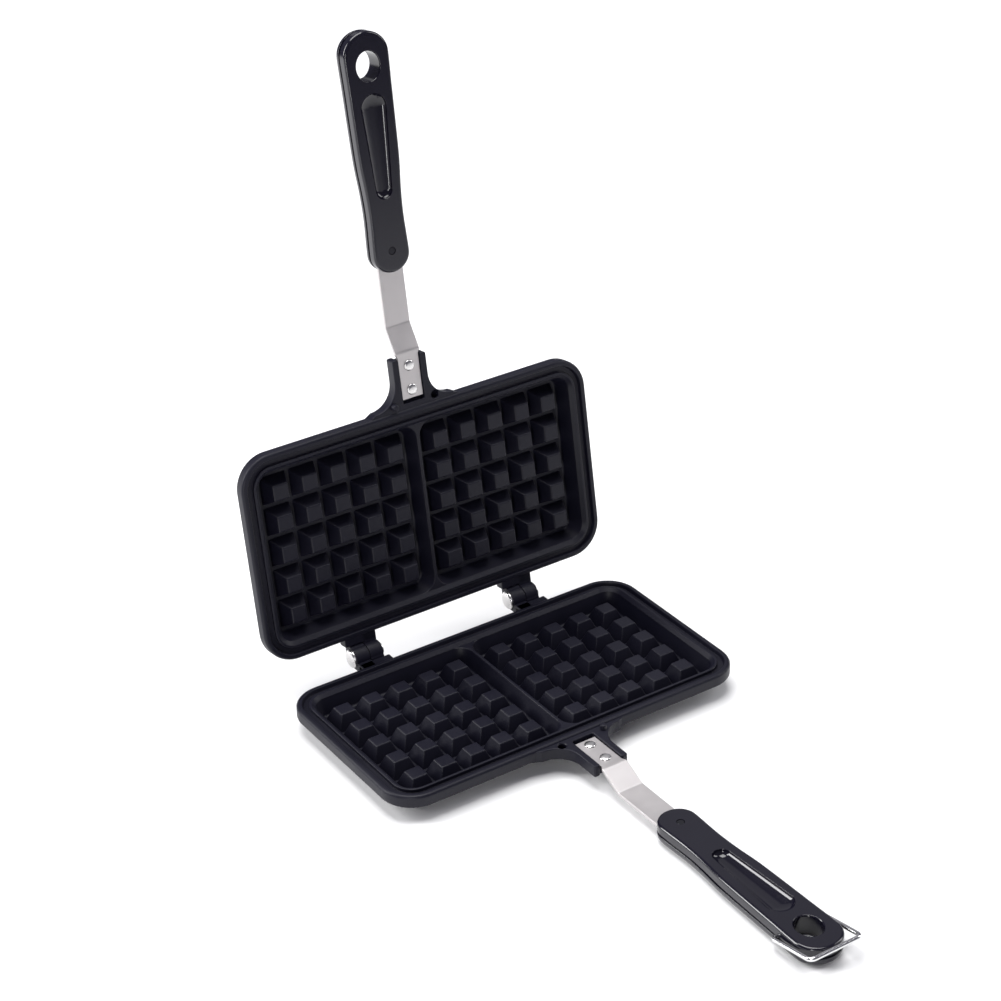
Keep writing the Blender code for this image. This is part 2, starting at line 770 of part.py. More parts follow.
def handle_body():
    """Handle without its holes, with a seam round its side."""
    shape = bmesh.new()
    side = handle_side()
    outline = side + [(-x, y) for x, y in reversed(side[1:-1])]
    face = -HANDLE_FACE_DROP
    back = face - HANDLE_THICKNESS
    seam = face - HANDLE_SEAM_DROP
    profile = []
    for run, rise in quarter_round(HANDLE_FACE_ROUND, ROUND_STEPS - 1):
        profile.append((run, face - rise))
    profile.sort(key=lambda pair: -pair[1])
    profile.append((0, seam))
    profile.append((HANDLE_SEAM_DEPTH, seam - HANDLE_SEAM_SIDE))
    profile.append((HANDLE_SEAM_DEPTH, seam - HANDLE_SEAM_WIDTH + HANDLE_SEAM_SIDE))
    profile.append((0, seam - HANDLE_SEAM_WIDTH))
    lower = []
    for run, rise in quarter_round(HANDLE_BACK_ROUND, BACK_STEPS):
        lower.append((run, back + rise))
    lower.sort(key=lambda pair: -pair[1])
    loft(shape, [inset_ring(outline, inset, z) for inset, z in profile + lower])
    return shape


def strap_pocket():
    """Pocket in the handle that the strap slides into."""
    shape = bmesh.new()
    middle = -STRAP_LOW - STRAP_THICKNESS / 2
    half = STRAP_THICKNESS / 2 + GAP
    wide = STRAP_WIDTH / 2 + GAP
    box(shape, (-wide, STRAP_END - GAP, middle - half), (wide, HANDLE_START + OVERRUN, middle + half))
    return shape


def hanging_eye():
    """Oval eye near the tip, flared at both faces."""
    shape = bmesh.new()
    face = -HANDLE_FACE_DROP
    back = face - HANDLE_THICKNESS
    centre_y = HANDLE_TIP + EYE_FROM_TIP
    rings = []
    for flare, z in ((EYE_FLARE, face + OVERRUN), (EYE_FLARE, face), (0, face - EYE_FLARE),
                     (0, back + EYE_FLARE), (EYE_FLARE, back), (EYE_FLARE, back - OVERRUN)):
        ring = []
        for step in range(CYLINDER_SIDES):
            angle = 2 * math.pi * step / CYLINDER_SIDES
            ring.append(Vector(((EYE_HALF_WIDTH + flare) * math.cos(angle),
                                centre_y + (EYE_HALF_LENGTH + flare) * math.sin(angle), z)))
        rings.append(ring)
    loft(shape, rings)
    return shape


def thumb_ring(inset, fade, z):
    """Outline of the thumb groove, narrow at the strap end and wide at the tip end."""
    top = HANDLE_START - THUMB_START - inset
    foot = HANDLE_START - THUMB_START - THUMB_LENGTH + inset + fade
    narrow = THUMB_NARROW - inset
    wide = THUMB_WIDE - inset
    side = []
    for step in range(1, END_STEPS + 1):
        angle = math.pi / 2 * step / END_STEPS
        side.append((narrow * math.sin(angle), top - narrow * (1 - math.cos(angle))))
    for step in range(END_STEPS):
        angle = math.pi / 2 * step / END_STEPS
        side.append((wide * math.cos(angle), foot + wide * (1 - math.sin(angle))))
    ring = [Vector((0, top, z))]
    ring.extend(Vector((x, y, z)) for x, y in side)
    ring.append(Vector((0, foot, z)))
    ring.extend(Vector((-x, y, z)) for x, y in reversed(side))
    return ring


def thumb_groove():
    """Shallow trough for the thumb in the handle's inner face."""
    shape = bmesh.new()
    face = -HANDLE_FACE_DROP
    rings = [thumb_ring(0, 0, face + OVERRUN)]
    for step in range(THUMB_STEPS + 1):
        angle = math.pi / 2 * step / THUMB_STEPS
        inset = THUMB_DEPTH * (1 - math.cos(angle))
        fade = THUMB_END_RUN * (1 - math.cos(angle))
        rings.append(thumb_ring(inset, fade, face - THUMB_DEPTH * math.sin(angle)))
    loft(shape, rings)
    return shape


def fix_hole():
    """Blind hole for the handle pin."""
    shape = bmesh.new()
    depth = FIX_REACH + GAP + OVERRUN
    cylinder(shape, FIX_RADIUS + RUNNING_GAP, depth,
             (0, HANDLE_START - FIX_SETBACK, OVERRUN - HANDLE_FACE_DROP - depth / 2),
             (0, 0, 1), SMALL_SIDES)
    return shape


def fix_pin():
    """Pin through the handle and its strap."""
    shape = bmesh.new()
    top = -HANDLE_FACE_DROP - FIX_SINK
    bottom = -HANDLE_FACE_DROP - FIX_REACH
    turned(shape, ((FIX_RADIUS - FIX_EDGE, bottom), (FIX_RADIUS, bottom + FIX_EDGE),
                   (FIX_RADIUS, top - FIX_EDGE), (FIX_RADIUS - FIX_EDGE, top)),
           (0, HANDLE_START - FIX_SETBACK, 0), (0, 0, 1), SMALL_SIDES)
    return shape


def pivot_holes():
    """Blind holes in the sides of the handle for the ends of the bail."""
    shape = bmesh.new()
    inner = BAIL_HALF_WIDTH - BAIL_PIN_REACH - GAP
    length = BAIL_HALF_WIDTH - inner
    for side in (-1, 1):
        cylinder(shape, WIRE_RADIUS + RUNNING_GAP, length,
                 (side * (inner + length / 2), PIVOT_Y, PIVOT_Z), (1, 0, 0), SMALL_SIDES)
    return shape


def bail_path():
    """Middle line of the bail in its own plane, from one bent-in end to the other."""
    half = BAIL_HALF_WIDTH
    path = [((half - BAIL_PIN_REACH, 0), (1, 0))]
    corners = (((half, 0), BAIL_PIVOT_BEND, (1, 0), (0, -1)),
               ((half, -BAIL_LEG), BAIL_BEND, (0, -1), (-1, 0)),
               ((-half, -BAIL_LEG), BAIL_BEND, (-1, 0), (0, 1)),
               ((-half, 0), BAIL_PIVOT_BEND, (0, 1), (1, 0)))
    for corner, radius, before, after in corners:
        before = Vector(before)
        after = Vector(after)
        middle = Vector(corner) + (after - before) * radius
        for step in range(BEND_STEPS + 1):
            angle = math.pi / 2 * step / BEND_STEPS
            point = middle + (before * math.sin(angle) - after * math.cos(angle)) * radius
            direction = before * math.cos(angle) + after * math.sin(angle)
            path.append((tuple(point), tuple(direction)))
    path.append(((BAIL_PIN_REACH - half, 0), (1, 0)))
    return path


def bail():
    """Round wire along its path."""
    shape = bmesh.new()
    rings = []
    for (x, y), (along_x, along_y) in bail_path():
        across = Vector((along_y, -along_x, 0))
        ring = []
        for side in range(WIRE_SIDES):
            angle = 2 * math.pi * side / WIRE_SIDES
            spoke = across * math.cos(angle) + Vector((0, 0, 1)) * math.sin(angle)
            ring.append(Vector((x, y, 0)) + spoke * WIRE_RADIUS)
        rings.append(ring)
    loft(shape, rings)
    return shape


def build():
    """Build both halves, the hinge pins and the bail."""
    clear_scene()
    parts = new_collection("stovetop_waffle_iron")
    cutters = new_collection("cutters")
    cutters.hide_render = True
    coated = new_material("coated_casting", (0.045, 0.045, 0.048), 0.38, 0.6)
    steel = new_material("brushed_steel", (0.62, 0.60, 0.59), 0.30, 1.0)
    bright = new_material("bright_steel", (0.70, 0.69, 0.68), 0.22, 1.0)
    moulded = new_material("gloss_handle", (0.012, 0.012, 0.014), 0.18, 0.0)
    wire_steel = new_material("plated_wire", (0.72, 0.72, 0.72), 0.20, 1.0)

    root = add_empty("foot_centre", None, (0, 0, 0), (0, 0, 0), parts)
    axis_place = (0, -PLATE_Y, PLATE_HEIGHT)
    lower = add_empty("lower_half", root, axis_place, (0, 0, 0), parts)
    hinge = add_empty("hinge_axis", root, axis_place, (-OPEN_ANGLE, 0, 0), parts)
    upper = add_empty("upper_half", hinge, (0, 0, 0), (0, math.pi, 0), parts)
    pivot = add_empty("bail_axis", lower, (0, PIVOT_Y, PIVOT_Z), (-BAIL_REST, 0, 0), parts)

    plate = add_part("lower_plate", plate_body(), coated, lower, parts)
    steps = (("plate_ear", ear, "UNION"), ("plate_shelves", lug_shelves, "UNION"),
             ("plate_knuckles", knuckles, "UNION"), ("plate_cavities", cavities, "DIFFERENCE"),
             ("plate_pegs", pegs, "UNION"), ("plate_slot", strap_slot, "DIFFERENCE"),
             ("plate_tongue_end", tongue_end, "DIFFERENCE"),
             ("plate_bores", pin_bores, "DIFFERENCE"), ("plate_rivets", rivet_holes, "DIFFERENCE"),
             ("plate_socket", socket, "DIFFERENCE"), ("plate_stud", stud, "UNION"))
    for name, shape, operation in steps:
        combine(plate, add_tool(name, shape(), lower, cutters), operation)

    handle = add_part("lower_handle", handle_body(), moulded, lower, parts)
    for name, shape in (("handle_pocket", strap_pocket), ("handle_eye", hanging_eye),
                        ("handle_thumb", thumb_groove), ("handle_fix", fix_hole)):
        combine(handle, add_tool(name, shape(), lower, cutters), "DIFFERENCE")

    bar = add_part("lower_strap", strap(), steel, lower, parts)
    for name, shape in (("strap_rivets", rivet_holes), ("strap_fix", fix_hole)):
        combine(bar, add_tool(name, shape(), lower, cutters), "DIFFERENCE")

    copy_part("upper_plate", plate, coated, upper, parts)
    copy_part("upper_handle", handle, moulded, upper, parts)
    copy_part("upper_strap", bar, steel, upper, parts)
    combine(handle, add_tool("handle_pivots", pivot_holes(), lower, cutters), "DIFFERENCE")

    for half_name, half in (("lower", lower), ("upper", upper)):
        for place, y in zip(("inner", "outer"), rivet_places()):
            add_part(f"{half_name}_{place}_rivet", rivet(y), bright, half, parts)
        add_part(f"{half_name}_handle_pin", fix_pin(), bright, half, parts)

    for side, centre in zip(("left", "right"), hinge_centres()):
        add_part(f"{side}_hinge_pin", hinge_pin(centre), bright, lower, parts)
        cap = add_part(f"{side}_hinge_cap", hinge_cap(centre), bright, lower, parts)
        combine(cap, add_tool(f"{side}_cap_bore", cap_bore(centre), lower, cutters), "DIFFERENCE")

    add_part("handle_bail", bail(), wire_steel, pivot, parts)


build()
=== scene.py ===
"""Looks of a stovetop waffle iron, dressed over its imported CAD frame.

Each half is built in its own half frame: the origin lies on the hinge axis in the parting plane,
+X runs along the hinge, -Y runs out along the handle and -Z is the outside of the plate.
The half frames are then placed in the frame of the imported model.
"""

import logging
from dataclasses import dataclass, field, replace
from enum import Enum
from math import acos, asin, atan2, cos, pi, radians, sin, sqrt, tan, tau

import bmesh
import bpy
from mathutils import Matrix, Vector


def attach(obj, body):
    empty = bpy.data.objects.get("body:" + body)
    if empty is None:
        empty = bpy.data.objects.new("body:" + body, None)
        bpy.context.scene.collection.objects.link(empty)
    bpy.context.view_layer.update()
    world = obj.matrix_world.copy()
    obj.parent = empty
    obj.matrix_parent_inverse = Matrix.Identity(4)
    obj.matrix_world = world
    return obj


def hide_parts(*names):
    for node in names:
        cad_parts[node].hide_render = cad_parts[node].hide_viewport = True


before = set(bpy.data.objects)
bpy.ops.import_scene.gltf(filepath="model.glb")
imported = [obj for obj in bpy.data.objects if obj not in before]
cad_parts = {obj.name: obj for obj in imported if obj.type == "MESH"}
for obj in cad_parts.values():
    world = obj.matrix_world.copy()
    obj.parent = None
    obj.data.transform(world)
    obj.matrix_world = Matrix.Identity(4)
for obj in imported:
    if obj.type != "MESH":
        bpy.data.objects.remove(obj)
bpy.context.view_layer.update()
LOG = logging.getLogger("waffle_iron")

MM = 0.001
HINGE_HEIGHT = 15.5 * MM
HINGE_REACH = 75.179 * MM
HINGE_OFFSET = 55.0 * MM
OPEN_ANGLE = radians(98.8)
UP = Vector((0, 0, 1))
ACROSS = Vector((1, 0, 0))
NEAR = MM / 100  # points closer than this count as one place
MERGE = MM / 2000  # verts closer than this are merged
CREASE = 1.0  # edges that turn by more radians than this are the rims of a form
MASK_LOW, MASK_HIGH = 0.25, 0.75  # where nearly all values of a broad noise lie
BORDER = 1 * MM  # strip left round a flat, so that its edge shades evenly
OVERLAP = 1 * MM  # how far a tool, or a form that joins another, runs past the surface

Face = bmesh.types.BMFace
Vert = bmesh.types.BMVert
Piece = bpy.types.Object
Pairs = list[tuple[float, float]]
Table = tuple[tuple[float, float], ...]
Triple = tuple[float, float, float]


class Half(Enum):
    """The two halves of the iron and the body each one rides on."""

    LOWER = "lower"
    UPPER = "upper"

    @property
    def body(self) -> str:
        """Name of the CAD body."""
        return self.node("half")

    @property
    def place(self) -> Matrix:
        """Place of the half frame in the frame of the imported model.

        Returns:
            Matrix from the one to the other.
        """
        axis = Matrix.Translation((0, HINGE_REACH, HINGE_HEIGHT))
        if self is Half.LOWER:
            return axis
        return axis @ Matrix.Rotation(-OPEN_ANGLE, 4, "X") @ Matrix.Rotation(pi, 4, "Y")

    def node(self, part: str) -> str:
        """Name that the CAD gives to a part of this half."""
        return f"{self.value}_{part}"


class Slot(Enum):
    """Material slot names for the pieces."""

    CASTING = "coated_casting"
    STRAP = "brushed_steel"
    STEEL = "bright_steel"
    HANDLE = "gloss_handle"
    WIRE = "plated_wire"


class Round(Enum):
    """How a quarter round runs: whether it starts at the flat, and the sign of its rise."""

    OVER = (False, 1)  # an upright side rounds over to a flat top
    FILLET = (True, 1)  # a flat curves up into a rising wall
    HOLLOW = (False, -1)  # a falling wall curves out to a flat floor
    SINK = (True, -1)  # a flat top rounds over to a falling wall


def quarter(steps: int, first: int = 0) -> list[float]:
    """Angles that split a quarter turn into equal steps, from a first step to the right angle."""
    return [pi / 2 * step / steps for step in range(first, steps + 1)]


def arc(radius: float, steps: int, kind: Round = Round.OVER) -> Pairs:
    """Split a quarter round into straight steps.

    Args:
        radius: Radius of the round in metres.
        steps: Number of steps.
        kind: How the round runs.

    Returns:
        Inset and rise of each step.
    """
    from_flat, sign = kind.value
    angles = quarter(steps)
    pairs = [(radius * (cos(low) - cos(high)), sign * radius * (sin(high) - sin(low)))
             for low, high in zip(angles, angles[1:])]
    return pairs[::-1] if from_flat else pairs


def add_object(name: str, data: bpy.types.ID) -> Piece:
    """Make an object of its data and link it to the scene.

    Args:
        name: Name of the object.
        data: Mesh, light or camera.

    Returns:
        The object at the origin.
    """
    made = bpy.data.objects.new(name, data)
    bpy.context.scene.collection.objects.link(made)
    return made


def discard(tool: Piece) -> None:
    """Throw a tool and its mesh away.

    Args:
        tool: The object.
    """
    shape = tool.data
    bpy.data.objects.remove(tool)
    bpy.data.meshes.remove(shape)


class Skin:
    """A mesh under work, with the operators that all of the pieces share."""

    def __init__(self) -> None:
        """Start with an empty bmesh."""
        self.mesh = bmesh.new()

    def bevel(self, geom: list, offset: float, segments: int, affect: str = "EDGES") -> None:
        """Round edges, or the corners of a face with VERTICES, in a number of segments."""
        bmesh.ops.bevel(self.mesh, geom=geom, affect=affect, offset=offset, segments=segments,
                        profile=0.5, material=-1)

    def extrude(self, face: Face, keep: bool = False) -> tuple[list[Vert], Face]:
        """Extrude a face without moving it.

        Args:
            face: The face.
            keep: Whether the old face stays as well.

        Returns:
            The new verts and the new face.
        """
        made = bmesh.ops.extrude_face_region(self.mesh, geom=[face], use_keep_orig=keep)["geom"]
        verts = [item for item in made if isinstance(item, Vert)]
        return verts, next(item for item in made if isinstance(item, Face))

    def aim(self, face: Face, up: bool = True) -> Face:
        """Make a face point up or down.

        Args:
            face: The face.
            up: Whether it is to point along +Z, not -Z.

        Returns:
            The same face.
        """
        face.normal_update()
        if (face.normal.z > 0) is not up:
            face.normal_flip()
        return face

    def plate_face(self, size_x: float, size_y: float, centre: Triple, radius: float, segments: int) -> Face:
        """Lay a flat rectangle with round corners.

        Args:
            size_x: Full size along X.
            size_y: Full size along Y.
            centre: Middle of the face.
            radius: Corner radius.
            segments: Steps in each corner.

        Returns:
            The face, pointing along +Z.
        """
        known = set(self.mesh.faces)
        matrix = Matrix.Translation(centre) @ Matrix.Diagonal((size_x / 2, size_y / 2, 1, 1))
        made = bmesh.ops.create_grid(self.mesh, x_segments=1, y_segments=1, size=1, matrix=matrix)
        self.bevel(made["verts"], radius, segments, "VERTICES")
        return self.aim(max((f for f in self.mesh.faces if f not in known), key=lambda f: f.calc_area()))

    def block(self, low: Triple, high: Triple, edge: float = 0.0) -> None:
        """Add a block.

        Args:
            low: Lowest corner.
            high: Highest corner.
            edge: Radius of its edges, if they are rounded.
        """
        low, high = Vector(low), Vector(high)
        matrix = Matrix.Translation((low + high) / 2) @ Matrix.Diagonal((*(high - low), 1))
        verts = bmesh.ops.create_cube(self.mesh, size=1, matrix=matrix)["verts"]
        if edge:
            self.bevel(list({e for v in verts for e in v.link_edges}), edge, 3)

    def steps(self, face: Face, pairs: Pairs) -> Face:
        """Draw a face in and out ring by ring.

        Args:
            face: The face to work on.
            pairs: Inset and rise of each ring.

        Returns:
            The same face in its last place.
        """
        for inset, rise in pairs:
            bmesh.ops.inset_individual(self.mesh, faces=[face], thickness=inset, depth=rise,
                                       use_even_offset=True)
        return face

    def sweep(self, section: list[Vert], places: list[Matrix]) -> None:
        """Extrude a flat section from place to place and close both ends.

        Args:
            section: Verts of the first ring, in order, laid out at the first place.
            places: Matrix of every place, the first included.
        """
        start = self.mesh.faces.new(section)
        face = start
        for before, after in zip(places, places[1:]):
            verts, cap = self.extrude(face, True)
            if face is not start:
                bmesh.ops.delete(self.mesh, geom=[face], context="FACES_ONLY")
            face = cap
            bmesh.ops.transform(self.mesh, matrix=after @ before.inverted(), verts=verts)

    def ring(self, radius: float, sides: int, place: Matrix) -> list[Vert]:
        """Lay a ring of points in the XY plane of a matrix and return its verts in order."""
        return bmesh.ops.create_circle(self.mesh, cap_ends=False, segments=sides, radius=radius,
                                       matrix=place)["verts"]

    def spin(self, profile: Pairs, origin: Triple, axis: Vector = UP, sides: int = 32) -> None:
        """Turn a profile about an axis.

        Args:
            profile: Pairs of radius and height along the axis.
            origin: A point on the axis.
            axis: Direction of the axis.
            sides: Number of steps round.
        """
        place = Matrix.Translation(origin) @ UP.rotation_difference(axis).to_matrix().to_4x4()
        verts = [self.mesh.verts.new(place @ Vector((radius, 0, height))) for radius, height in profile]
        edges = [self.mesh.edges.new(pair) for pair in zip(verts, verts[1:])]
        bmesh.ops.spin(self.mesh, geom=verts + edges, cent=origin, axis=axis, angle=tau,
                       steps=sides, use_merge=True, use_duplicate=False)

    def take(self, tool: Piece) -> None:
        """Add the mesh of a tool in the same frame to this one and throw the tool away."""
        self.mesh.from_mesh(tool.data)
        discard(tool)

    def tool(self, name: str, place: Matrix = Matrix.Identity(4)) -> Piece:
        """Close the mesh and make it an object at the origin.

        Args:
            name: Name of the object.
            place: Matrix that the mesh is moved by.

        Returns:
            The new object, which stays in its half frame if no matrix is given.
        """
        bmesh.ops.remove_doubles(self.mesh, verts=self.mesh.verts, dist=MERGE)
        bmesh.ops.recalc_face_normals(self.mesh, faces=self.mesh.faces)
        bmesh.ops.transform(self.mesh, matrix=place, verts=self.mesh.verts)
        mesh = bpy.data.meshes.new(name)
        self.mesh.to_mesh(mesh)
        self.mesh.free()
        return add_object(name, mesh)

    def finish(self, node: str, form: str, slot: Slot, half: Half, sharp: float = 40.0,
               body: str = "") -> Piece:
        """Make the mesh a visible piece on its body and hide the CAD node that it stands in for.

        Args:
            node: CAD node that it stands for.
            form: Word added to the node's name for the name of the piece.
            slot: Its material slot; not used.
            half: The half whose frame it was built in.
            sharp: Edges sharper than this many degrees stay crisp.
            body: Body that it rides on, where that is not the half's.

        Returns:
            The piece at the origin.
        """
        piece = self.tool(f"{node}_{form}", half.place)
        piece.data.shade_smooth()
        piece.data.set_sharp_from_angle(angle=radians(sharp))
        piece.modifiers.new("even_shading", "WEIGHTED_NORMAL").keep_sharp = True
        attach(piece, body or half.body)
        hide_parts(node)
        return piece


def cut(piece: Piece, tools: list[Piece]) -> Piece:
    """Cut closed tools out of a piece and throw the tools away.

    Args:
        piece: The piece to cut.
        tools: Closed meshes.

    Returns:
        The same piece.
    """
    for tool in tools:
        modifier = piece.modifiers.new(tool.name, "BOOLEAN")
        modifier.operation = "DIFFERENCE"
        modifier.solver = "EXACT"
        modifier.object = tool
    graph = bpy.context.evaluated_depsgraph_get()
    mesh = bpy.data.meshes.new_from_object(piece.evaluated_get(graph))
    piece.modifiers.clear()
    old, piece.data = piece.data, mesh
    bpy.data.meshes.remove(old)
    for tool in tools:
        discard(tool)
    return piece


@dataclass
class PlateCasting:
    """One cast plate with its rim, compartments, pegs, ear and hinge parts."""

    half: Half
    skin: Skin = field(default_factory=Skin)
    pegs: int = 5
    pitch: float = 19.0 * MM
    peg_base: float = 16.8 * MM
    peg_tip: float = 9.4 * MM
    peg_height: float = 9.3 * MM
    peg_drop: float = 3.3 * MM
    peg_round: float = 0.7 * MM
    peg_sink: float = 0.5 * MM
    floor_margin: float = 2.0 * MM
    draft: float = radians(19.0)
    rib_top: float = 2.1 * MM
    rim_width: float = 3.4 * MM
    rim_height: float = 7.6 * MM
    rim_round: float = 1.8 * MM
    under_round: float = 0.9 * MM
    rim_gap: float = 0.15 * MM
    groove_width: float = 4.0 * MM
    groove_depth: float = 2.6 * MM
    groove_side: float = 0.5 * MM
    groove_edge: float = 0.4 * MM
    groove_foot: float = 0.25 * MM
    lip_width: float = 3.6 * MM
    lip_flat: float = 1.4 * MM
    lip_drop: float = 0.9 * MM
    lip_lift: float = 0.5 * MM
    lip_round: float = 0.7 * MM
    lip_outer: float = 0.5 * MM
    shelf_fall: float = 1.9 * MM
    corner: float = 20.0 * MM
    corner_segments: int = 14
    cavity_corner: float = 9.0 * MM
    cavity_segments: int = 8
    floor_round: float = 1.6 * MM
    floor_thickness: float = 2.9 * MM
    wall: float = 3.2 * MM
    flange_fillet: float = 2.0 * MM
    foot_round: float = 1.5 * MM
    foot_border: float = 6.0 * MM
    setback: float = 11.75 * MM
    ear_reach: float = 30.4 * MM
    ear_drop: float = 1.2 * MM
    ear_depth: float = 7.2 * MM
    ear_root: float = 1.8 * MM
    ear_half: float = 11.2 * MM
    ear_fillet: float = 15.0 * MM
    fillet_share: float = 0.999
    ear_blend: float = 7.0 * MM
    ear_edge: float = 0.7 * MM
    lap: float = 2.0 * MM
    prong_corner: float = 1.2 * MM
    slot_half: float = 7.2 * MM
    slot_setback: float = 3.0 * MM
    slot_corner: float = 1.2 * MM
    tongue_drop: float = 4.7 * MM
    tongue_setback: float = 1.2 * MM
    tongue_lift: float = 0.1 * MM
    tongue_edge: float = 0.4 * MM
    stud_offset: float = 14.0 * MM
    stud_setback: float = 3.4 * MM
    stud_radius: float = 1.9 * MM
    stud_rise: float = 2.0 * MM
    stud_taper: float = 0.15 * MM
    stud_edge: float = 0.7 * MM
    stud_sides: int = 24
    socket_radius: float = 2.5 * MM
    socket_depth: float = 4.6 * MM
    socket_edge: float = 0.5 * MM
    knuckle_radius: float = 6.2 * MM
    knuckle_length: float = 8.8 * MM
    knuckle_gap: float = 0.15 * MM
    knuckle_edge: float = 0.5 * MM
    lug_drop: float = 0.5 * MM
    lug_height: float = 6.8 * MM
    lug_gap: float = 1.1 * MM
    lug_overhang: float = 3.0 * MM
    lug_edge: float = 0.8 * MM
    heel_gap: float = 0.3 * MM
    heel_length: float = 7.0 * MM
    heel_start: float = 1.0 * MM
    arc_steps: int = 18

    @property
    def cavity_depth(self) -> float:
        """Depth of the compartment floor under the parting plane."""
        return self.peg_drop + self.peg_height

    @property
    def height(self) -> float:
        """Height of the casting from its foot to the parting plane."""
        return self.cavity_depth + self.floor_thickness

    @property
    def mouth(self) -> float:
        """Width of a compartment at its lip."""
        wall_run = (self.cavity_depth - self.lip_drop) * tan(self.draft)
        return (self.pegs - 1) * self.pitch + self.peg_base + 2 * self.floor_margin + 2 * wall_run

    @property
    def lip_inset(self) -> float:
        """Distance from the outer edge to the compartment."""
        return self.rim_width + self.groove_width + self.lip_width

    @property
    def depth(self) -> float:
        """Full depth of the plate."""
        return self.mouth + 2 * self.lip_inset

    @property
    def middle_y(self) -> float:
        """Middle of the plate along Y in the half frame."""
        return -(self.setback + self.depth / 2)

    @property
    def front(self) -> float:
        """Front edge of the plate in the half frame."""
        return -(self.setback + self.depth)

    @property
    def centres(self) -> tuple[float, float]:
        """Middle of each compartment along X."""
        reach = (self.mouth + self.rib_top) / 2
        return -reach, reach

    def blank(self) -> Face:
        """Lay the plan of the plate at half the height of its rim, pointing up."""
        width = 2 * self.mouth + self.rib_top + 2 * self.lip_inset
        return self.skin.plate_face(width, self.depth, (0, self.middle_y, -self.rim_height / 2), self.corner,
                                    self.corner_segments)

    def outside(self) -> None:
        """Draw the outside down from the rim to the foot."""
        down = self.blank()
        down.normal_flip()
        slope = tan(self.draft)
        wall_inset = (self.lip_inset + (self.rim_height - self.lip_drop) * slope
                      - self.wall / cos(self.draft))
        drop = self.height - self.rim_height - self.foot_round - self.flange_fillet
        self.skin.steps(down, [(0, self.rim_height / 2 - self.under_round)]
                        + arc(self.under_round, 3)
                        + [(wall_inset - self.under_round - self.flange_fillet, 0)]
                        + arc(self.flange_fillet, 4, Round.FILLET)
                        + [(drop * slope, drop)]
                        + arc(self.foot_round, 4)
                        + [(self.foot_border, 0)])

    def rim(self) -> Face:
        """Draw the rim, the sealing groove and the lip.

        Returns:
            The face inside the lip.
        """
        edge, foot, outer = self.groove_edge, self.groove_foot, self.lip_outer
        return self.skin.steps(self.blank(), [(0, self.rim_height / 2 - self.rim_gap - self.rim_round)]
                               + arc(self.rim_round, 6)
                               + [(self.rim_width - self.rim_round - edge, 0)]
                               + arc(edge, 3, Round.SINK)
                               + [(self.groove_side, edge + foot + self.rim_gap - self.groove_depth)]
                               + arc(foot, 3, Round.HOLLOW)
                               + [(self.groove_width - self.groove_side - 2 * foot, 0)]
                               + arc(foot, 3, Round.FILLET)
                               + [(0, self.groove_depth - self.lip_drop + self.lip_lift - foot - outer)]
                               + arc(outer, 3)
                               + [(self.lip_flat - outer, 0)]
                               + [(self.lip_width - self.lip_flat, -self.shelf_fall)])

    def compartments(self, inside: Face) -> None:
        """Sink both compartments, with the dividing rib between them.

        Args:
            inside: The face inside the lip.
        """
        mesh = self.skin.mesh
        lip = list(inside.edges)
        top = max(vert.co.z for vert in inside.verts)
        bmesh.ops.delete(mesh, geom=[inside], context="FACES_ONLY")
        size, corner = self.mouth + 2 * self.lip_round, self.cavity_corner + self.lip_round
        floors = [self.skin.plate_face(size, size, (x, self.middle_y, top), corner, self.cavity_segments)
                  for x in self.centres]
        rings = lip + [edge for face in floors for edge in face.edges]
        bmesh.ops.triangle_fill(mesh, edges=rings, use_beauty=True, use_dissolve=False, normal=UP)
        fall = self.cavity_depth + top - self.lip_round - self.floor_round
        for face in floors:
            self.skin.steps(face, arc(self.lip_round, 4, Round.SINK) + [(fall * tan(self.draft), -fall)]
                            + arc(self.floor_round, 5, Round.HOLLOW) + [(BORDER, 0)])

    def peg_rows(self) -> Piece:
        """Stand the rows of blunt pyramids that rise from the floors.

        Returns:
            All of the pegs as one tool.
        """
        skin = Skin()
        lean = (self.peg_base - self.peg_tip) / 2 / self.peg_height
        middle = -self.cavity_depth + (self.peg_height - self.peg_sink) / 2
        made = bmesh.ops.create_cone(
            skin.mesh, cap_ends=True, segments=4, depth=self.peg_height + self.peg_sink,
            radius1=(self.peg_base / 2 + self.peg_sink * lean) * sqrt(2),
            radius2=self.peg_tip / 2 * sqrt(2),
            matrix=Matrix.Translation((0, 0, middle)) @ Matrix.Rotation(pi / 4, 4, "Z"))
        faces = {face for vert in made["verts"] for face in vert.link_faces}
        foot = min(faces, key=lambda face: face.calc_center_median().z)
        skin.bevel(list({edge for face in faces for edge in face.edges} - set(foot.edges)), self.peg_round, 3)
        peg = list(skin.mesh.verts)
        shape = peg + list(skin.mesh.edges) + list(skin.mesh.faces)
        offsets = [(index - (self.pegs - 1) / 2) * self.pitch for index in range(self.pegs)]
        for place in ((x + across, self.middle_y + along, 0)
                      for x in self.centres for across in offsets for along in offsets):
            copy = bmesh.ops.duplicate(skin.mesh, geom=shape)["geom"]
            bmesh.ops.translate(skin.mesh, vec=place, verts=[item for item in copy if isinstance(item, Vert)])
        bmesh.ops.delete(skin.mesh, geom=peg, context="VERTS")
        return skin.tool("peg_rows")

    def ear(self) -> Piece:
        """Make the ear with its flared root, prongs and locating socket.

        Returns:
            The ear as a tool.
        """
        skin = Skin()
        root = self.front - self.ear_root
        tip = self.front - self.ear_reach
        slot = self.front - self.slot_setback
        flare = self.ear_half + self.ear_fillet
        side = [(flare + self.ear_blend, self.front + self.lap), (flare, root), (self.ear_half, root),
                (self.ear_half, tip), (self.slot_half, tip), (self.slot_half, slot)]
        points = side + [(-x, y) for x, y in reversed(side)]
        skin.mesh.faces.new([skin.mesh.verts.new((x, y, -self.ear_drop)) for x, y in points])
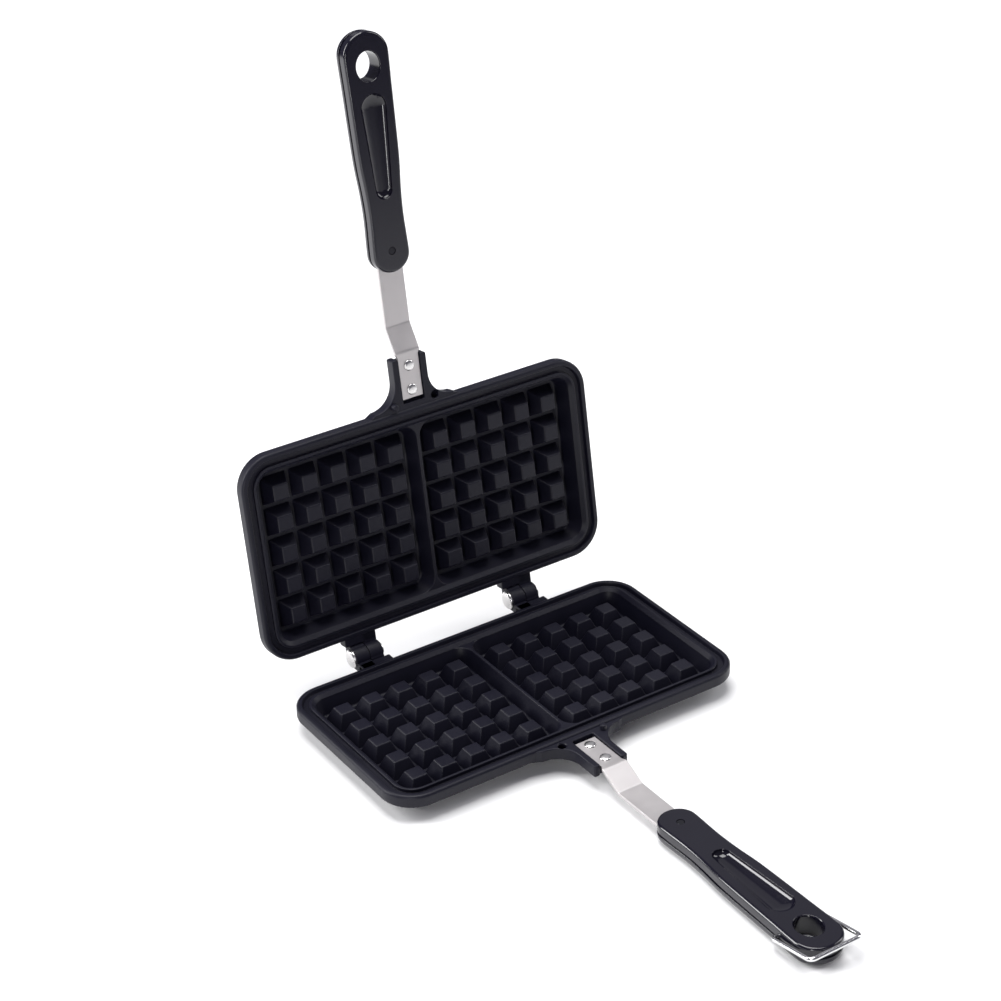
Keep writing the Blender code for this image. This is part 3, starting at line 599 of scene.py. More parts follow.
        # The fillet is a hair shorter than the edge beside it, which would collapse otherwise.
        rounds = ((self.ear_half, root, self.ear_fillet * self.fillet_share, 14),
                  (self.ear_half, tip, self.prong_corner, 5),
                  (self.slot_half, tip, self.slot_corner, 3),
                  (self.slot_half, slot, self.slot_corner, 3))
        for wide, reach, radius, segments in rounds:
            corner = [v for v in skin.mesh.verts
                      if abs(v.co.y - reach) < NEAR and abs(abs(v.co.x) - wide) < NEAR]
            skin.bevel(corner, radius, segments, "VERTICES")
        low, _ = skin.extrude(max(skin.mesh.faces, key=lambda item: item.calc_area()))
        bmesh.ops.translate(skin.mesh, vec=(0, 0, -self.ear_depth), verts=low)
        bmesh.ops.recalc_face_normals(skin.mesh, faces=skin.mesh.faces)
        rims = [e for e in skin.mesh.edges if abs(e.verts[0].co.z - e.verts[1].co.z) < NEAR
                and e.is_manifold and e.calc_face_angle() > CREASE]
        skin.bevel(rims, self.ear_edge, 3)
        return cut(skin.tool("ear_blank"), [self.socket()])

    def tongue(self) -> None:
        """Fill the floor of the slot, under the strap."""
        wide = self.slot_half + OVERLAP
        self.skin.block((-wide, self.front - self.ear_reach + self.tongue_setback,
                         -self.ear_drop - self.ear_depth + self.tongue_lift),
                        (wide, self.front - self.slot_setback + OVERLAP, -self.tongue_drop), self.tongue_edge)

    def stud(self) -> None:
        """Turn the locating stud on the ear."""
        radius, height = self.stud_radius, self.stud_rise - self.stud_edge
        low = -self.ear_drop - OVERLAP
        profile = [(0, low), (radius + self.stud_taper, low), (radius, height)]
        for inset, rise in arc(self.stud_edge, 3):
            radius, height = radius - inset, height + rise
            profile.append((radius, height))
        profile.append((0, height))
        self.skin.spin(profile, (self.stud_offset, self.front - self.stud_setback, 0), sides=self.stud_sides)

    def socket(self) -> Piece:
        """Turn the locating socket of the ear.

        Returns:
            The tool that sinks it.
        """
        skin = Skin()
        radius, edge = self.socket_radius, self.socket_edge
        top = -self.ear_drop
        profile = [(0, top + OVERLAP), (radius + edge, top + OVERLAP), (radius + edge, top),
                   (radius, top - edge), (radius, top - self.socket_depth), (0, top - self.socket_depth)]
        skin.spin(profile, (-self.stud_offset, self.front - self.stud_setback, 0), sides=self.stud_sides)
        return skin.tool("ear_socket_tool")

    def knuckle_outline(self) -> Pairs:
        """Draw the section of a knuckle with its web and heel.

        Returns:
            The section as (y, z) points.
        """
        radius = self.knuckle_radius
        tilt = OPEN_ANGLE - pi / 2
        out = Vector((sin(tilt), cos(tilt)))
        along = Vector((cos(tilt), -sin(tilt)))
        reach = radius + self.lug_gap - self.heel_gap
        front = -self.setback - self.lap
        start = pi + asin(self.lug_drop / radius)
        end = acos(radius * sin(tilt) / reach)
        outline = [(front, -self.lug_drop)]
        for step in range(self.arc_steps + 1):
            angle = start + (end - start) * step / self.arc_steps
            outline.append((radius * cos(angle), radius * sin(angle)))
        outline += [tuple(out * reach + along * distance) for distance in (self.heel_start, self.heel_length)]
        outline.append((radius + self.heel_start, self.heel_start))
        outline += [(radius * cos(angle), -radius * sin(angle)) for angle in quarter(10, 1)]
        outline.append((front, -radius))
        return outline

    def hinge_parts(self) -> None:
        """Add the shelf, knuckle, web and stop heel of both hinges."""
        skin = self.skin
        for centre in (-HINGE_OFFSET, HINGE_OFFSET):
            left = centre - self.knuckle_length - self.knuckle_gap
            skin.block((left, -self.setback - self.lap, -self.lug_drop - self.lug_height),
                       (centre + self.knuckle_length + self.lug_overhang, -self.knuckle_radius - self.lug_gap,
                        -self.lug_drop), self.lug_edge)
            near = [skin.mesh.verts.new((left, y, z)) for y, z in self.knuckle_outline()]
            far, _ = skin.extrude(skin.mesh.faces.new(near))
            bmesh.ops.translate(skin.mesh, vec=(self.knuckle_length, 0, 0), verts=far)
            ends = {e for v in near + far for e in v.link_edges
                    if abs(e.verts[0].co.x - e.verts[1].co.x) < NEAR}
            skin.bevel(list(ends), self.knuckle_edge, 2)

    def build(self) -> Piece:
        """Build the whole casting.

        Returns:
            The piece that stands for the CAD plate.
        """
        self.outside()
        self.compartments(self.rim())
        self.skin.take(self.ear())
        self.tongue()
        self.stud()
        self.hinge_parts()
        self.skin.take(self.peg_rows())
        return self.skin.finish(self.half.node("plate"), "casting", Slot.CASTING, self.half, sharp=38.0)


@dataclass
class Strap:
    """Bent flat bar with its two rivets."""

    half: Half
    thickness: float = 2.0 * MM
    tang_half: float = 6.9 * MM
    wide_half: float = 8.1 * MM
    drop: float = 2.4 * MM
    step_down: float = 6.9 * MM
    start: float = 144.007 * MM
    shoulder: float = 169.307 * MM
    shoulder_run: float = 2.2 * MM
    first_bend: float = 172.107 * MM
    second_bend: float = 186.307 * MM
    end: float = 255.6 * MM
    bend: float = 4.0 * MM
    bend_steps: int = 8
    edge: float = 0.35 * MM
    rivets: tuple[float, float] = (148.907 * MM, 163.507 * MM)
    rivet_radius: float = 1.8 * MM
    rivet_head: float = 3.3 * MM
    rivet_height: float = 0.9 * MM
    rivet_flatness: float = 0.8
    dome_steps: int = 7
    rivet_seat: float = 0.15 * MM
    rivet_under: float = 8.55 * MM

    @property
    def slope(self) -> float:
        """Slope of the bar between its bends, in radians."""
        return atan2(self.step_down, self.second_bend - self.first_bend)

    @property
    def bends(self) -> tuple[float, float, float]:
        """Where the bent part starts and ends, and the run of each bend."""
        setback = self.bend * tan(self.slope / 2)
        return self.first_bend - setback, self.second_bend + setback, self.bend * sin(self.slope)

    def line(self, reach: float) -> tuple[float, float]:
        """Find the middle of the bar at a distance out.

        Args:
            reach: Distance from the hinge axis along the bar.

        Returns:
            Height of the middle, and slope of the bar in radians.
        """
        high = -self.drop - self.thickness / 2
        low = high - self.step_down
        first, last, run = self.bends
        for level, distance, sign in ((high, reach - first, -1), (low, last - reach, 1)):
            turn = max(distance, 0.0) / self.bend
            if distance < run:
                return level + sign * self.bend * (1 - sqrt(1 - turn * turn)), asin(turn)
        return high - (reach - self.first_bend) * tan(self.slope), self.slope

    def place(self, reach: float) -> Matrix:
        """Place the bar's section, which widens at the shoulder.

        Args:
            reach: Distance from the hinge axis along the bar.

        Returns:
            Matrix of the section.
        """
        middle, lean = self.line(reach)
        share = min(max((reach - self.shoulder) / self.shoulder_run, 0), 1)
        wide = 1 + (self.wide_half / self.tang_half - 1) * share * share * (3 - 2 * share)
        return (Matrix.Translation((0, -reach, middle)) @ Matrix.Rotation(pi / 2 + lean, 4, "X")
                @ Matrix.Diagonal((wide, 1, 1, 1)))

    def build(self) -> Piece:
        """Sweep the bar from the ear into the handle.

        Returns:
            The piece that stands for the CAD strap.
        """
        skin = Skin()
        first, last, run = self.bends
        shares = [step / self.bend_steps for step in range(self.bend_steps + 1)]
        reaches = {self.start, self.shoulder, self.shoulder + self.shoulder_run / 2,
                   self.shoulder + self.shoulder_run, self.end}
        reaches |= {first + run * share for share in shares} | {last - run * share for share in shares}
        places = [self.place(reach) for reach in sorted(reaches)]
        face = skin.plate_face(2 * self.tang_half, self.thickness, (0, 0, 0), self.edge, 3)
        ring = list(face.verts)
        bmesh.ops.transform(skin.mesh, matrix=places[0], verts=ring)
        bmesh.ops.delete(skin.mesh, geom=[face], context="FACES_ONLY")
        skin.sweep(ring, places)
        return skin.finish(self.half.node("strap"), "bar", Slot.STRAP, self.half, sharp=30.0)

    def build_rivets(self) -> list[Piece]:
        """Turn both rivets with their low domes.

        Returns:
            The two pieces that stand for the CAD rivets.
        """
        made = []
        seat = self.rivet_seat - self.drop
        head, height = self.rivet_head, self.rivet_height
        profile = [(0, -self.rivet_under - height)]
        profile += [(head * sin(angle), -self.rivet_under - height * cos(angle))
                    for angle in quarter(self.dome_steps, 1)]
        profile += [(self.rivet_radius, -self.rivet_under), (self.rivet_radius, seat)]
        profile += [(head * cos(angle) ** self.rivet_flatness,
                     seat + height * sin(angle) ** self.rivet_flatness)
                    for angle in quarter(self.dome_steps)[:-1]]
        profile.append((0, seat + height))
        for name, reach in zip(("inner", "outer"), self.rivets):
            skin = Skin()
            skin.spin(profile, (0, -reach, 0))
            made.append(skin.finish(self.half.node(f"{name}_rivet"), "turned", Slot.STEEL, self.half))
        return made


@dataclass
class Handle:
    """Moulded handle with its seam, thumb groove, eye and pin."""

    half: Half
    start: float = 218.607 * MM
    length: float = 137.6 * MM
    half_width: float = 14.3 * MM
    end_steps: int = 14
    side_steps: int = 40
    thickness: float = 12.8 * MM
    face_drop: float = 4.6 * MM
    face_round: float = 1.6 * MM
    back_round: float = 4.8 * MM
    seam_drop: float = 5.2 * MM
    seam_width: float = 2.0 * MM
    seam_depth: float = 0.8 * MM
    seam_edge: float = 0.35 * MM
    eye_from_tip: float = 19.3 * MM
    eye_half_width: float = 7.4 * MM
    eye_half_length: float = 8.4 * MM
    eye_flare: float = 1.2 * MM
    thumb_start: float = 43.0 * MM
    thumb_length: float = 60.0 * MM
    thumb_narrow: float = 5.2 * MM
    thumb_wide: float = 8.2 * MM
    thumb_depth: float = 3.4 * MM
    thumb_reach: float = 3.91 * MM
    thumb_fade: float = 4.0 * MM
    thumb_rim: float = 0.5 * MM
    thumb_scoop: float = 0.86
    thumb_steps: int = 10
    ring_sides: int = 64
    pocket_half: float = 8.4 * MM
    pocket_middle: float = 10.3 * MM
    pocket_height: float = 2.6 * MM
    pocket_depth: float = 37.3 * MM
    pin_setback: float = 12.8 * MM
    pin_radius: float = 2.2 * MM
    pin_edge: float = 0.3 * MM
    pin_sink: float = 0.4 * MM
    pin_reach: float = 11.0 * MM
    pin_play: float = 0.12 * MM
    pin_hole_middle: float = 5.0 * MM
    pin_hole_length: float = 12.6 * MM
    pivot_from_tip: float = 27.532 * MM
    pivot_depth: float = 6.2 * MM
    wire_hole: float = 1.38 * MM
    wire_hole_middle: float = 12.95 * MM
    wire_hole_length: float = 6.9 * MM
    knots: Table = ((0.077, 0.81), (0.235, 0.765), (0.34, 0.80), (0.46, 0.895), (0.60, 0.935), (0.78, 0.97),
                    (0.903, 1.0))

    @property
    def tip(self) -> float:
        """Distance of the tip from the hinge axis."""
        return self.start + self.length

    @property
    def pivot(self) -> Vector:
        """Middle of the bail's axis in the half frame."""
        return Vector((0, self.pivot_from_tip - self.tip, -self.face_drop - self.pivot_depth))

    def half_at(self, share: float) -> float:
        """Half width of the grip between its round ends, on a smooth curve through the knots.

        Args:
            share: Share of the handle's length.

        Returns:
            Half width in metres.
        """
        knots = self.knots
        leans = [(after[1] - before[1]) / (after[0] - before[0]) for before, after in zip(knots, knots[2:])]
        leans = [0.0, *leans, 0.0]
        index = 0
        while index < len(knots) - 2 and share > knots[index + 1][0]:
            index += 1
        low, high = knots[index], knots[index + 1]
        span = high[0] - low[0]
        t = (share - low[0]) / span
        value = low[1] * (2 * t ** 3 - 3 * t ** 2 + 1) + high[1] * (3 * t ** 2 - 2 * t ** 3)
        value += span * (leans[index] * (t ** 3 - 2 * t ** 2 + t) + leans[index + 1] * (t ** 3 - t ** 2))
        return self.half_width * value

    def outline(self) -> Pairs:
        """Draw the plan of the grip.

        Returns:
            The plan as a closed run of points.
        """
        first, last = self.knots[0][0], self.knots[-1][0]
        near, far = self.half_at(first), self.half_at(last)
        shares = [first + (last - first) * step / self.side_steps for step in range(self.side_steps)]
        side = [(near * sin(angle), self.start + self.length * first * (1 - cos(angle)))
                for angle in quarter(self.end_steps)[:-1]]
        side += [(self.half_at(share), self.start + self.length * share) for share in shares]
        side += [(far * cos(angle), self.start + self.length * (last + (1 - last) * sin(angle)))
                 for angle in quarter(self.end_steps)]
        return [(x, -y) for x, y in side] + [(-x, -y) for x, y in reversed(side[1:-1])]

    def shell(self, up: bool, rise: float, top: float) -> Piece:
        """One side of the grip, from the foot of the seam to its flat.

        Args:
            up: Whether it is the side that faces the other half.
            rise: Height of its upright wall.
            top: Radius of its round.

        Returns:
            The open shell.
        """
        skin = Skin()
        ease = self.seam_edge
        level = -self.face_drop - self.seam_drop - self.seam_width / 2
        ring = [skin.mesh.verts.new((x, y, level)) for x, y in self.outline()]
        face = skin.aim(skin.mesh.faces.new(ring), up)
        skin.steps(face, [(self.seam_depth, 0)])
        bmesh.ops.delete(skin.mesh, geom=[f for f in skin.mesh.faces if f is not face], context="FACES")
        skin.steps(face, [(0, self.seam_width / 2 - ease), (-self.seam_depth + ease, 0)])
        skin.steps(face, [(-inset, depth) for inset, depth in arc(ease, 3, Round.FILLET)])
        skin.steps(face, [(0, rise - ease / 2)] + arc(top, 8) + [(BORDER, 0)])
        return skin.tool("grip_shell")

    def grip(self) -> Piece:
        """Join both sides of the grip at the seam.

        Returns:
            The grip before its hollows are cut.
        """
        skin = Skin()
        back_rise = self.thickness - self.seam_drop - self.seam_width - self.back_round
        skin.take(self.shell(True, self.seam_drop - self.face_round, self.face_round))
        skin.take(self.shell(False, back_rise, self.back_round))
        return skin.tool("grip_blank")

    def pocket(self) -> Piece:
        """Make the pocket that the strap slides into.

        Returns:
            The tool.
        """
        skin = Skin()
        half, height = self.pocket_half, self.pocket_height / 2
        skin.block((-half, -self.start - self.pocket_depth, -self.pocket_middle - height),
                   (half, -self.start + OVERLAP, -self.pocket_middle + height))
        return skin.tool("pocket_tool")

    def eye(self) -> Piece:
        """Make the oval hanging eye with its rounded edges.

        Returns:
            The tool.
        """
        skin = Skin()
        flare = self.eye_flare
        ring = skin.ring(1.0, self.ring_sides,
                         Matrix.Translation((0, -self.tip + self.eye_from_tip, -self.face_drop + OVERLAP))
                         @ Matrix.Diagonal((self.eye_half_width + flare, self.eye_half_length + flare, 1, 1)))
        verts, bottom = skin.extrude(skin.aim(skin.mesh.faces.new(ring), False))
        bmesh.ops.translate(skin.mesh, vec=(0, 0, -OVERLAP), verts=verts)
        rounds = arc(flare, 6, Round.FILLET)
        skin.steps(bottom, rounds + [(0, self.thickness - 2 * flare)]
                   + [(-inset, rise) for inset, rise in reversed(rounds)] + [(0, OVERLAP)])
        return skin.tool("eye_tool")

    def thumb_ring(self, skin: Skin, inset: float, fade: float, drop: float) -> list[Vert]:
        """Lay one ring of the thumb groove, narrow at one end and wide at the other.

        Args:
            skin: Mesh of the tool.
            inset: How far the ring lies inside the groove's outline.
            fade: How far its wide end is drawn in on top of that.
            drop: Its height over the face of the grip.

        Returns:
            The ring's verts in order.
        """
        level = -self.face_drop + drop
        near = -self.start - self.thumb_start - inset
        far = -self.start - self.thumb_start - self.thumb_length + inset + fade
        narrow, wide = self.thumb_narrow - inset, self.thumb_wide - inset
        if inset > 0:
            share = self.thumb_scoop * inset / self.thumb_reach
            narrow, wide = self.thumb_narrow * (1 - share), self.thumb_wide * (1 - share)
        ring = skin.ring(1.0, self.ring_sides, Matrix.Identity(4))
        for index, vert in enumerate(ring):
            angle = tau * index / self.ring_sides
            if cos(angle) >= 0:
                vert.co = (narrow * sin(angle), near - narrow * (1 - cos(angle)), level)
            else:
                vert.co = (wide * sin(angle), far + wide * (1 + cos(angle)), level)
        return ring

    def thumb(self) -> Piece:
        """Make the thumb groove, a smooth scoop that fades out at its wide end.

        Returns:
            The tool.
        """
        skin = Skin()
        rim = self.thumb_rim
        levels = [(-rim, 0.0, OVERLAP), (-rim, 0.0, 0.0)]
        levels += [(-rim * (1 - sin(angle)), 0.0, -rim * (1 - cos(angle))) for angle in quarter(3, 1)]
        levels += [(self.thumb_reach * (1 - cos(angle)), self.thumb_fade * (1 - cos(angle)),
                    -rim - (self.thumb_depth - rim) * sin(angle)) for angle in quarter(self.thumb_steps, 1)]
        rings = [self.thumb_ring(skin, *level) for level in levels]
        for pair in zip(rings, rings[1:]):
            edges = [e for e in skin.mesh.edges if any(set(ring).issuperset(e.verts) for ring in pair)]
            bmesh.ops.bridge_loops(skin.mesh, edges=edges)
        for ring in (rings[0], rings[-1]):
            skin.mesh.faces.new(ring)
        return skin.tool("thumb_tool")

    def hole(self, name: str, centre: Triple, axis: Vector, radius: float, depth: float) -> Piece:
        """Make a round hole.

        Args:
            name: Name of the tool.
            centre: Middle of the tool.
            axis: Direction of the hole.
            radius: Radius of the hole.
            depth: Length of the tool.

        Returns:
            The tool.
        """
        skin = Skin()
        skin.spin([(0, -depth / 2), (radius, -depth / 2), (radius, depth / 2), (0, depth / 2)], centre, axis)
        return skin.tool(name)

    def build(self) -> Piece:
        """Build the grip with its hollows.

        Returns:
            The piece that stands for the CAD handle.
        """
        place = (0, -self.start - self.pin_setback, -self.face_drop - self.pin_hole_middle)
        radius = self.pin_radius + self.pin_play
        tools = [self.pocket(), self.eye(), self.thumb(),
                 self.hole("pin_hole_tool", place, UP, radius, self.pin_hole_length)]
        if self.half is Half.LOWER:
            tools += [self.hole(f"pivot_tool_{side + 1}", self.pivot + side * self.wire_hole_middle * ACROSS,
                                ACROSS, self.wire_hole, self.wire_hole_length) for side in (-1, 1)]
        skin = Skin()
        skin.take(cut(self.grip(), tools))
        return skin.finish(self.half.node("handle"), "grip", Slot.HANDLE, self.half)

    def build_pin(self) -> Piece:
        """Turn the pin that holds the handle and the strap together.

        Returns:
            The piece that stands for the CAD pin.
        """
        skin = Skin()
        top = -self.face_drop - self.pin_sink
        low = -self.face_drop - self.pin_reach
        radius, edge = self.pin_radius, self.pin_edge
        skin.spin([(0, low), (radius - edge, low), (radius, low + edge), (radius, top - edge),
                   (radius - edge, top), (0, top)], (0, -self.start - self.pin_setback, 0))
        return skin.finish(self.half.node("handle_pin"), "turned", Slot.STEEL, self.half)


@dataclass
class Hinge:
    """Headed pin and push-on ring of one hinge."""

    centre: float
    side: str
    knuckle: float = 8.8 * MM
    gap: float = 0.3 * MM
    pin_radius: float = 2.5 * MM
    pin_end: float = 0.4 * MM
    pin_taper: Table = ((0.0, 0.5 * MM), (0.2 * MM, 0.15 * MM), (0.6 * MM, 0.0))
    head_radius: float = 5.6 * MM
    head_height: float = 2.2 * MM
    head_side: float = 0.5 * MM
    head_fullness: float = 0.9
    dome_steps: int = 8
    ring_radius: float = 4.2 * MM
    ring_height: float = 1.3 * MM
    ring_play: float = 0.08 * MM
    ring_taper: Table = ((0.0, 0.5 * MM), (0.15 * MM, 0.15 * MM), (0.5 * MM, 0.0))
    sides: int = 40

    def turn(self, profile: Pairs, part: str) -> Piece:
        """Turn a profile about the hinge axis.

        Args:
            profile: Pairs of radius and distance along the axis.
            part: What the part is called.

        Returns:
            The piece that stands for the CAD node of that part.
        """
        skin = Skin()
        skin.spin(profile, (0, 0, 0), ACROSS, self.sides)
        return skin.finish(f"{self.side}_hinge_{part}", "turned", Slot.STEEL, Half.LOWER)

    def build(self) -> list[Piece]:
        """Turn the pin and the ring.

        Returns:
            The pieces that stand for the CAD pin and cap.
        """
        seat = self.centre - self.knuckle - self.gap
        low = self.centre + self.knuckle + self.gap
        high = low + self.ring_height
        tail = high + self.pin_end
        dome = self.head_height - self.head_side
        pin = [(0, seat - self.head_height)]
        pin += [(self.head_radius * sin(angle) ** self.head_fullness,
                 seat - self.head_side - dome * cos(angle)) for angle in quarter(self.dome_steps, 1)]
        pin += [(self.head_radius, seat), (self.pin_radius, seat)]
        pin += [(self.pin_radius - inset, tail - back) for inset, back in self.pin_taper] + [(0, tail)]
        inner = self.pin_radius + self.ring_play
        ring = [(inner, low), (self.ring_radius, low)]
        ring += [(self.ring_radius - inset, high - back) for inset, back in self.ring_taper]
        ring += [(inner, high), (inner, low)]
        return [self.turn(pin, "pin"), self.turn(ring, "cap")]


@dataclass
class Bail:
    """Wire bail in the sides of the lower handle."""

    pivot: Vector
    wire: float = 1.3 * MM
    wire_sides: int = 20
    half_width: float = 16.4 * MM
    leg: float = 29.9 * MM
    pin_reach: float = 6.6 * MM
    bend: float = 3.2 * MM
    bend_steps: int = 8
    pivot_bend: float = 1.8 * MM
    rest: float = radians(11.185)

    def places(self) -> list[Matrix]:
        """Lay the run of the wire.

        Returns:
            Matrix of every section along it, in the half frame.
        """
        turn = Matrix.Translation(self.pivot) @ Matrix.Rotation(-self.rest, 4, "X")
        inner = self.half_width - self.pin_reach
        run = [(Vector((inner, 0)), 0.0)]
        corners = ((self.half_width, 0, self.pivot_bend), (self.half_width, -self.leg, self.bend),
                   (-self.half_width, -self.leg, self.bend), (-self.half_width, 0, self.pivot_bend))
        for index, (x, y, radius) in enumerate(corners):
            heading = -pi / 2 * index
            before = Vector((cos(heading), sin(heading)))
            after = Vector((cos(heading - pi / 2), sin(heading - pi / 2)))
            middle = Vector((x, y)) + (after - before) * radius
            run += [(middle + (before * sin(angle) - after * cos(angle)) * radius, heading - angle)
                    for angle in quarter(self.bend_steps)]
        run.append((Vector((-inner, 0)), -tau))
        return [turn @ Matrix.Translation((*spot, 0)) @ Matrix.Rotation(heading, 4, "Z")
                @ Matrix.Rotation(pi / 2, 4, "Y") for spot, heading in run]

    def build(self) -> Piece:
        """Sweep the wire.

        Returns:
            The piece that stands for the CAD bail.
        """
        skin = Skin()
        places = self.places()
        skin.sweep(skin.ring(self.wire, self.wire_sides, places[0]), places)
        return skin.finish("handle_bail", "wire", Slot.WIRE, Half.LOWER, sharp=50.0, body="bail")


def fill(node: bpy.types.ShaderNode, values: dict[str, object]) -> bpy.types.ShaderNode:
    """Set constants on the input sockets of a shader node.

    Args:
        node: The node.
        values: Value by name of the socket.

    Returns:
        The same node.
    """
    for name, value in values.items():
        node.inputs[name].default_value = value
    return node


def link(tree: bpy.types.NodeTree, *joins: tuple) -> None:
    """Link nodes of a tree, each time from a node's output to a node's input."""
    for source, output, target, socket in joins:
        tree.links.new(source.outputs[output], target.inputs[socket])


@dataclass(frozen=True)
class Texture:
    """Shared shader group: a fine noise for the relief and a broad one for colour and gloss."""

    name: str
    detail: float
    roughness: float
    broad_scale: float
    broad_detail: float
    stretch: Triple

    def group(self) -> bpy.types.NodeTree:
        """Build the group, with Vector and Size inputs and Mask and Height outputs.

        Returns:
            The group.
        """
        group = bpy.data.node_groups.new(self.name, "ShaderNodeTree")
        for socket, way, kind in (("Vector", "INPUT", "Vector"), ("Size", "INPUT", "Float"),
                                  ("Mask", "OUTPUT", "Float"), ("Height", "OUTPUT", "Float")):
            group.interface.new_socket(socket, in_out=way, socket_type=f"NodeSocket{kind}")
        nodes = group.nodes
        enter = nodes.new("NodeGroupInput")
        leave = nodes.new("NodeGroupOutput")
        stretch = fill(nodes.new("ShaderNodeMapping"), {"Scale": self.stretch})
        fine = fill(nodes.new("ShaderNodeTexNoise"), {"Detail": self.detail, "Roughness": self.roughness})
        broad = fill(nodes.new("ShaderNodeTexNoise"), {"Scale": self.broad_scale, "Detail": self.broad_detail})
        link(group, (enter, "Vector", stretch, "Vector"), (stretch, "Vector", fine, "Vector"),
             (enter, "Size", fine, "Scale"), (enter, "Vector", broad, "Vector"),
             (broad, "Fac", leave, "Mask"), (fine, "Fac", leave, "Height"))
        return group


GRAIN = Texture("surface_grain", 3.0, 0.6, 38.0, 4.0, (1.0, 1.0, 1.0))
BRUSH = Texture("brushed_lines", 2.0, 0.5, 90.0, 3.0, (1.0, 0.02, 1.0))


@dataclass(frozen=True)
class Finish:
    """Colour, gloss and grain of one surface."""

    name: str
    dark: Triple
    light: Triple
    smooth: float
    rough: float
    metallic: float
    size: float
    bump: float
    texture: Texture = GRAIN
    turn: float = 0.0
    specular: float = 0.5

    def material(self, groups: dict[Texture, bpy.types.NodeTree]) -> bpy.types.Material:
        """Build the node material.

        Args:
            groups: Shared shader groups by texture.

        Returns:
            The material.
        """
        material = bpy.data.materials.new(self.name)
        material.use_nodes = True
        nodes = material.node_tree.nodes
        shader = fill(nodes["Principled BSDF"], {"Metallic": self.metallic,
                                                 "Specular IOR Level": self.specular})
        place = nodes.new("ShaderNodeTexCoord")
        turn = fill(nodes.new("ShaderNodeMapping"), {"Rotation": (self.turn, 0.0, 0.0)})
        grain = nodes.new("ShaderNodeGroup")
        grain.node_tree = groups[self.texture]
        fill(grain, {"Size": self.size})
        colour = nodes.new("ShaderNodeMix")
        colour.data_type = "RGBA"
        fill(colour, {"A": (*self.dark, 1.0), "B": (*self.light, 1.0)})
        gloss = fill(nodes.new("ShaderNodeMapRange"), {"From Min": MASK_LOW, "From Max": MASK_HIGH,
                                                       "To Min": self.smooth, "To Max": self.rough})
        bump = fill(nodes.new("ShaderNodeBump"), {"Strength": 1.0, "Distance": self.bump * MM})
        link(material.node_tree, (place, "Object", turn, "Vector"), (turn, "Vector", grain, "Vector"),
             (grain, "Mask", colour, "Factor"), (colour, "Result", shader, "Base Color"),
             (grain, "Mask", gloss, "Value"), (gloss, "Result", shader, "Roughness"),
             (grain, "Height", bump, "Height"), (bump, "Normal", shader, "Normal"))
        return material


CASTING = Finish("coated_casting", (0.0040, 0.0039, 0.0092), (0.0066, 0.0063, 0.0138), 0.38, 0.50, 0.0,
                 size=1500.0, bump=0.05, specular=0.24)
MOULDING = Finish("gloss_moulding", (0.0052, 0.0048, 0.0100), (0.0072, 0.0066, 0.0130), 0.10, 0.15, 0.0,
                  size=900.0, bump=0.008)
STRAP_LOWER = Finish("satin_steel_lower", (0.50, 0.48, 0.48), (0.58, 0.555, 0.555), 0.44, 0.54, 1.0,
                     size=3200.0, bump=0.006, texture=BRUSH)
STRAP_UPPER = replace(STRAP_LOWER, name="satin_steel_upper", turn=OPEN_ANGLE)
TURNED = Finish("bright_turned_steel", (0.62, 0.61, 0.61), (0.72, 0.71, 0.70), 0.20, 0.32, 1.0,
                size=2200.0, bump=0.006)
BLUED = Finish("blued_steel", (0.012, 0.012, 0.016), (0.022, 0.022, 0.028), 0.30, 0.42, 0.6,
               size=2200.0, bump=0.006)
WIRE = Finish("plated_wire", (0.66, 0.66, 0.66), (0.76, 0.76, 0.76), 0.14, 0.24, 1.0,
              size=2600.0, bump=0.004)


@dataclass(frozen=True)
class Lamp:
    """A soft rectangular light."""

    name: str
    place: Triple
    size: tuple[float, float]
    power: float

    def hang(self, target: Vector) -> None:
        """Hang the light.

        Args:
            target: What it points at.
        """
        data = bpy.data.lights.new(self.name, "AREA")
        data.shape = "RECTANGLE"
        data.size, data.size_y = self.size
        data.energy = self.power
        lamp = add_object(self.name, data)
        lamp.location = self.place
        lamp.rotation_euler = (target - Vector(self.place)).to_track_quat("-Z", "Y").to_euler()


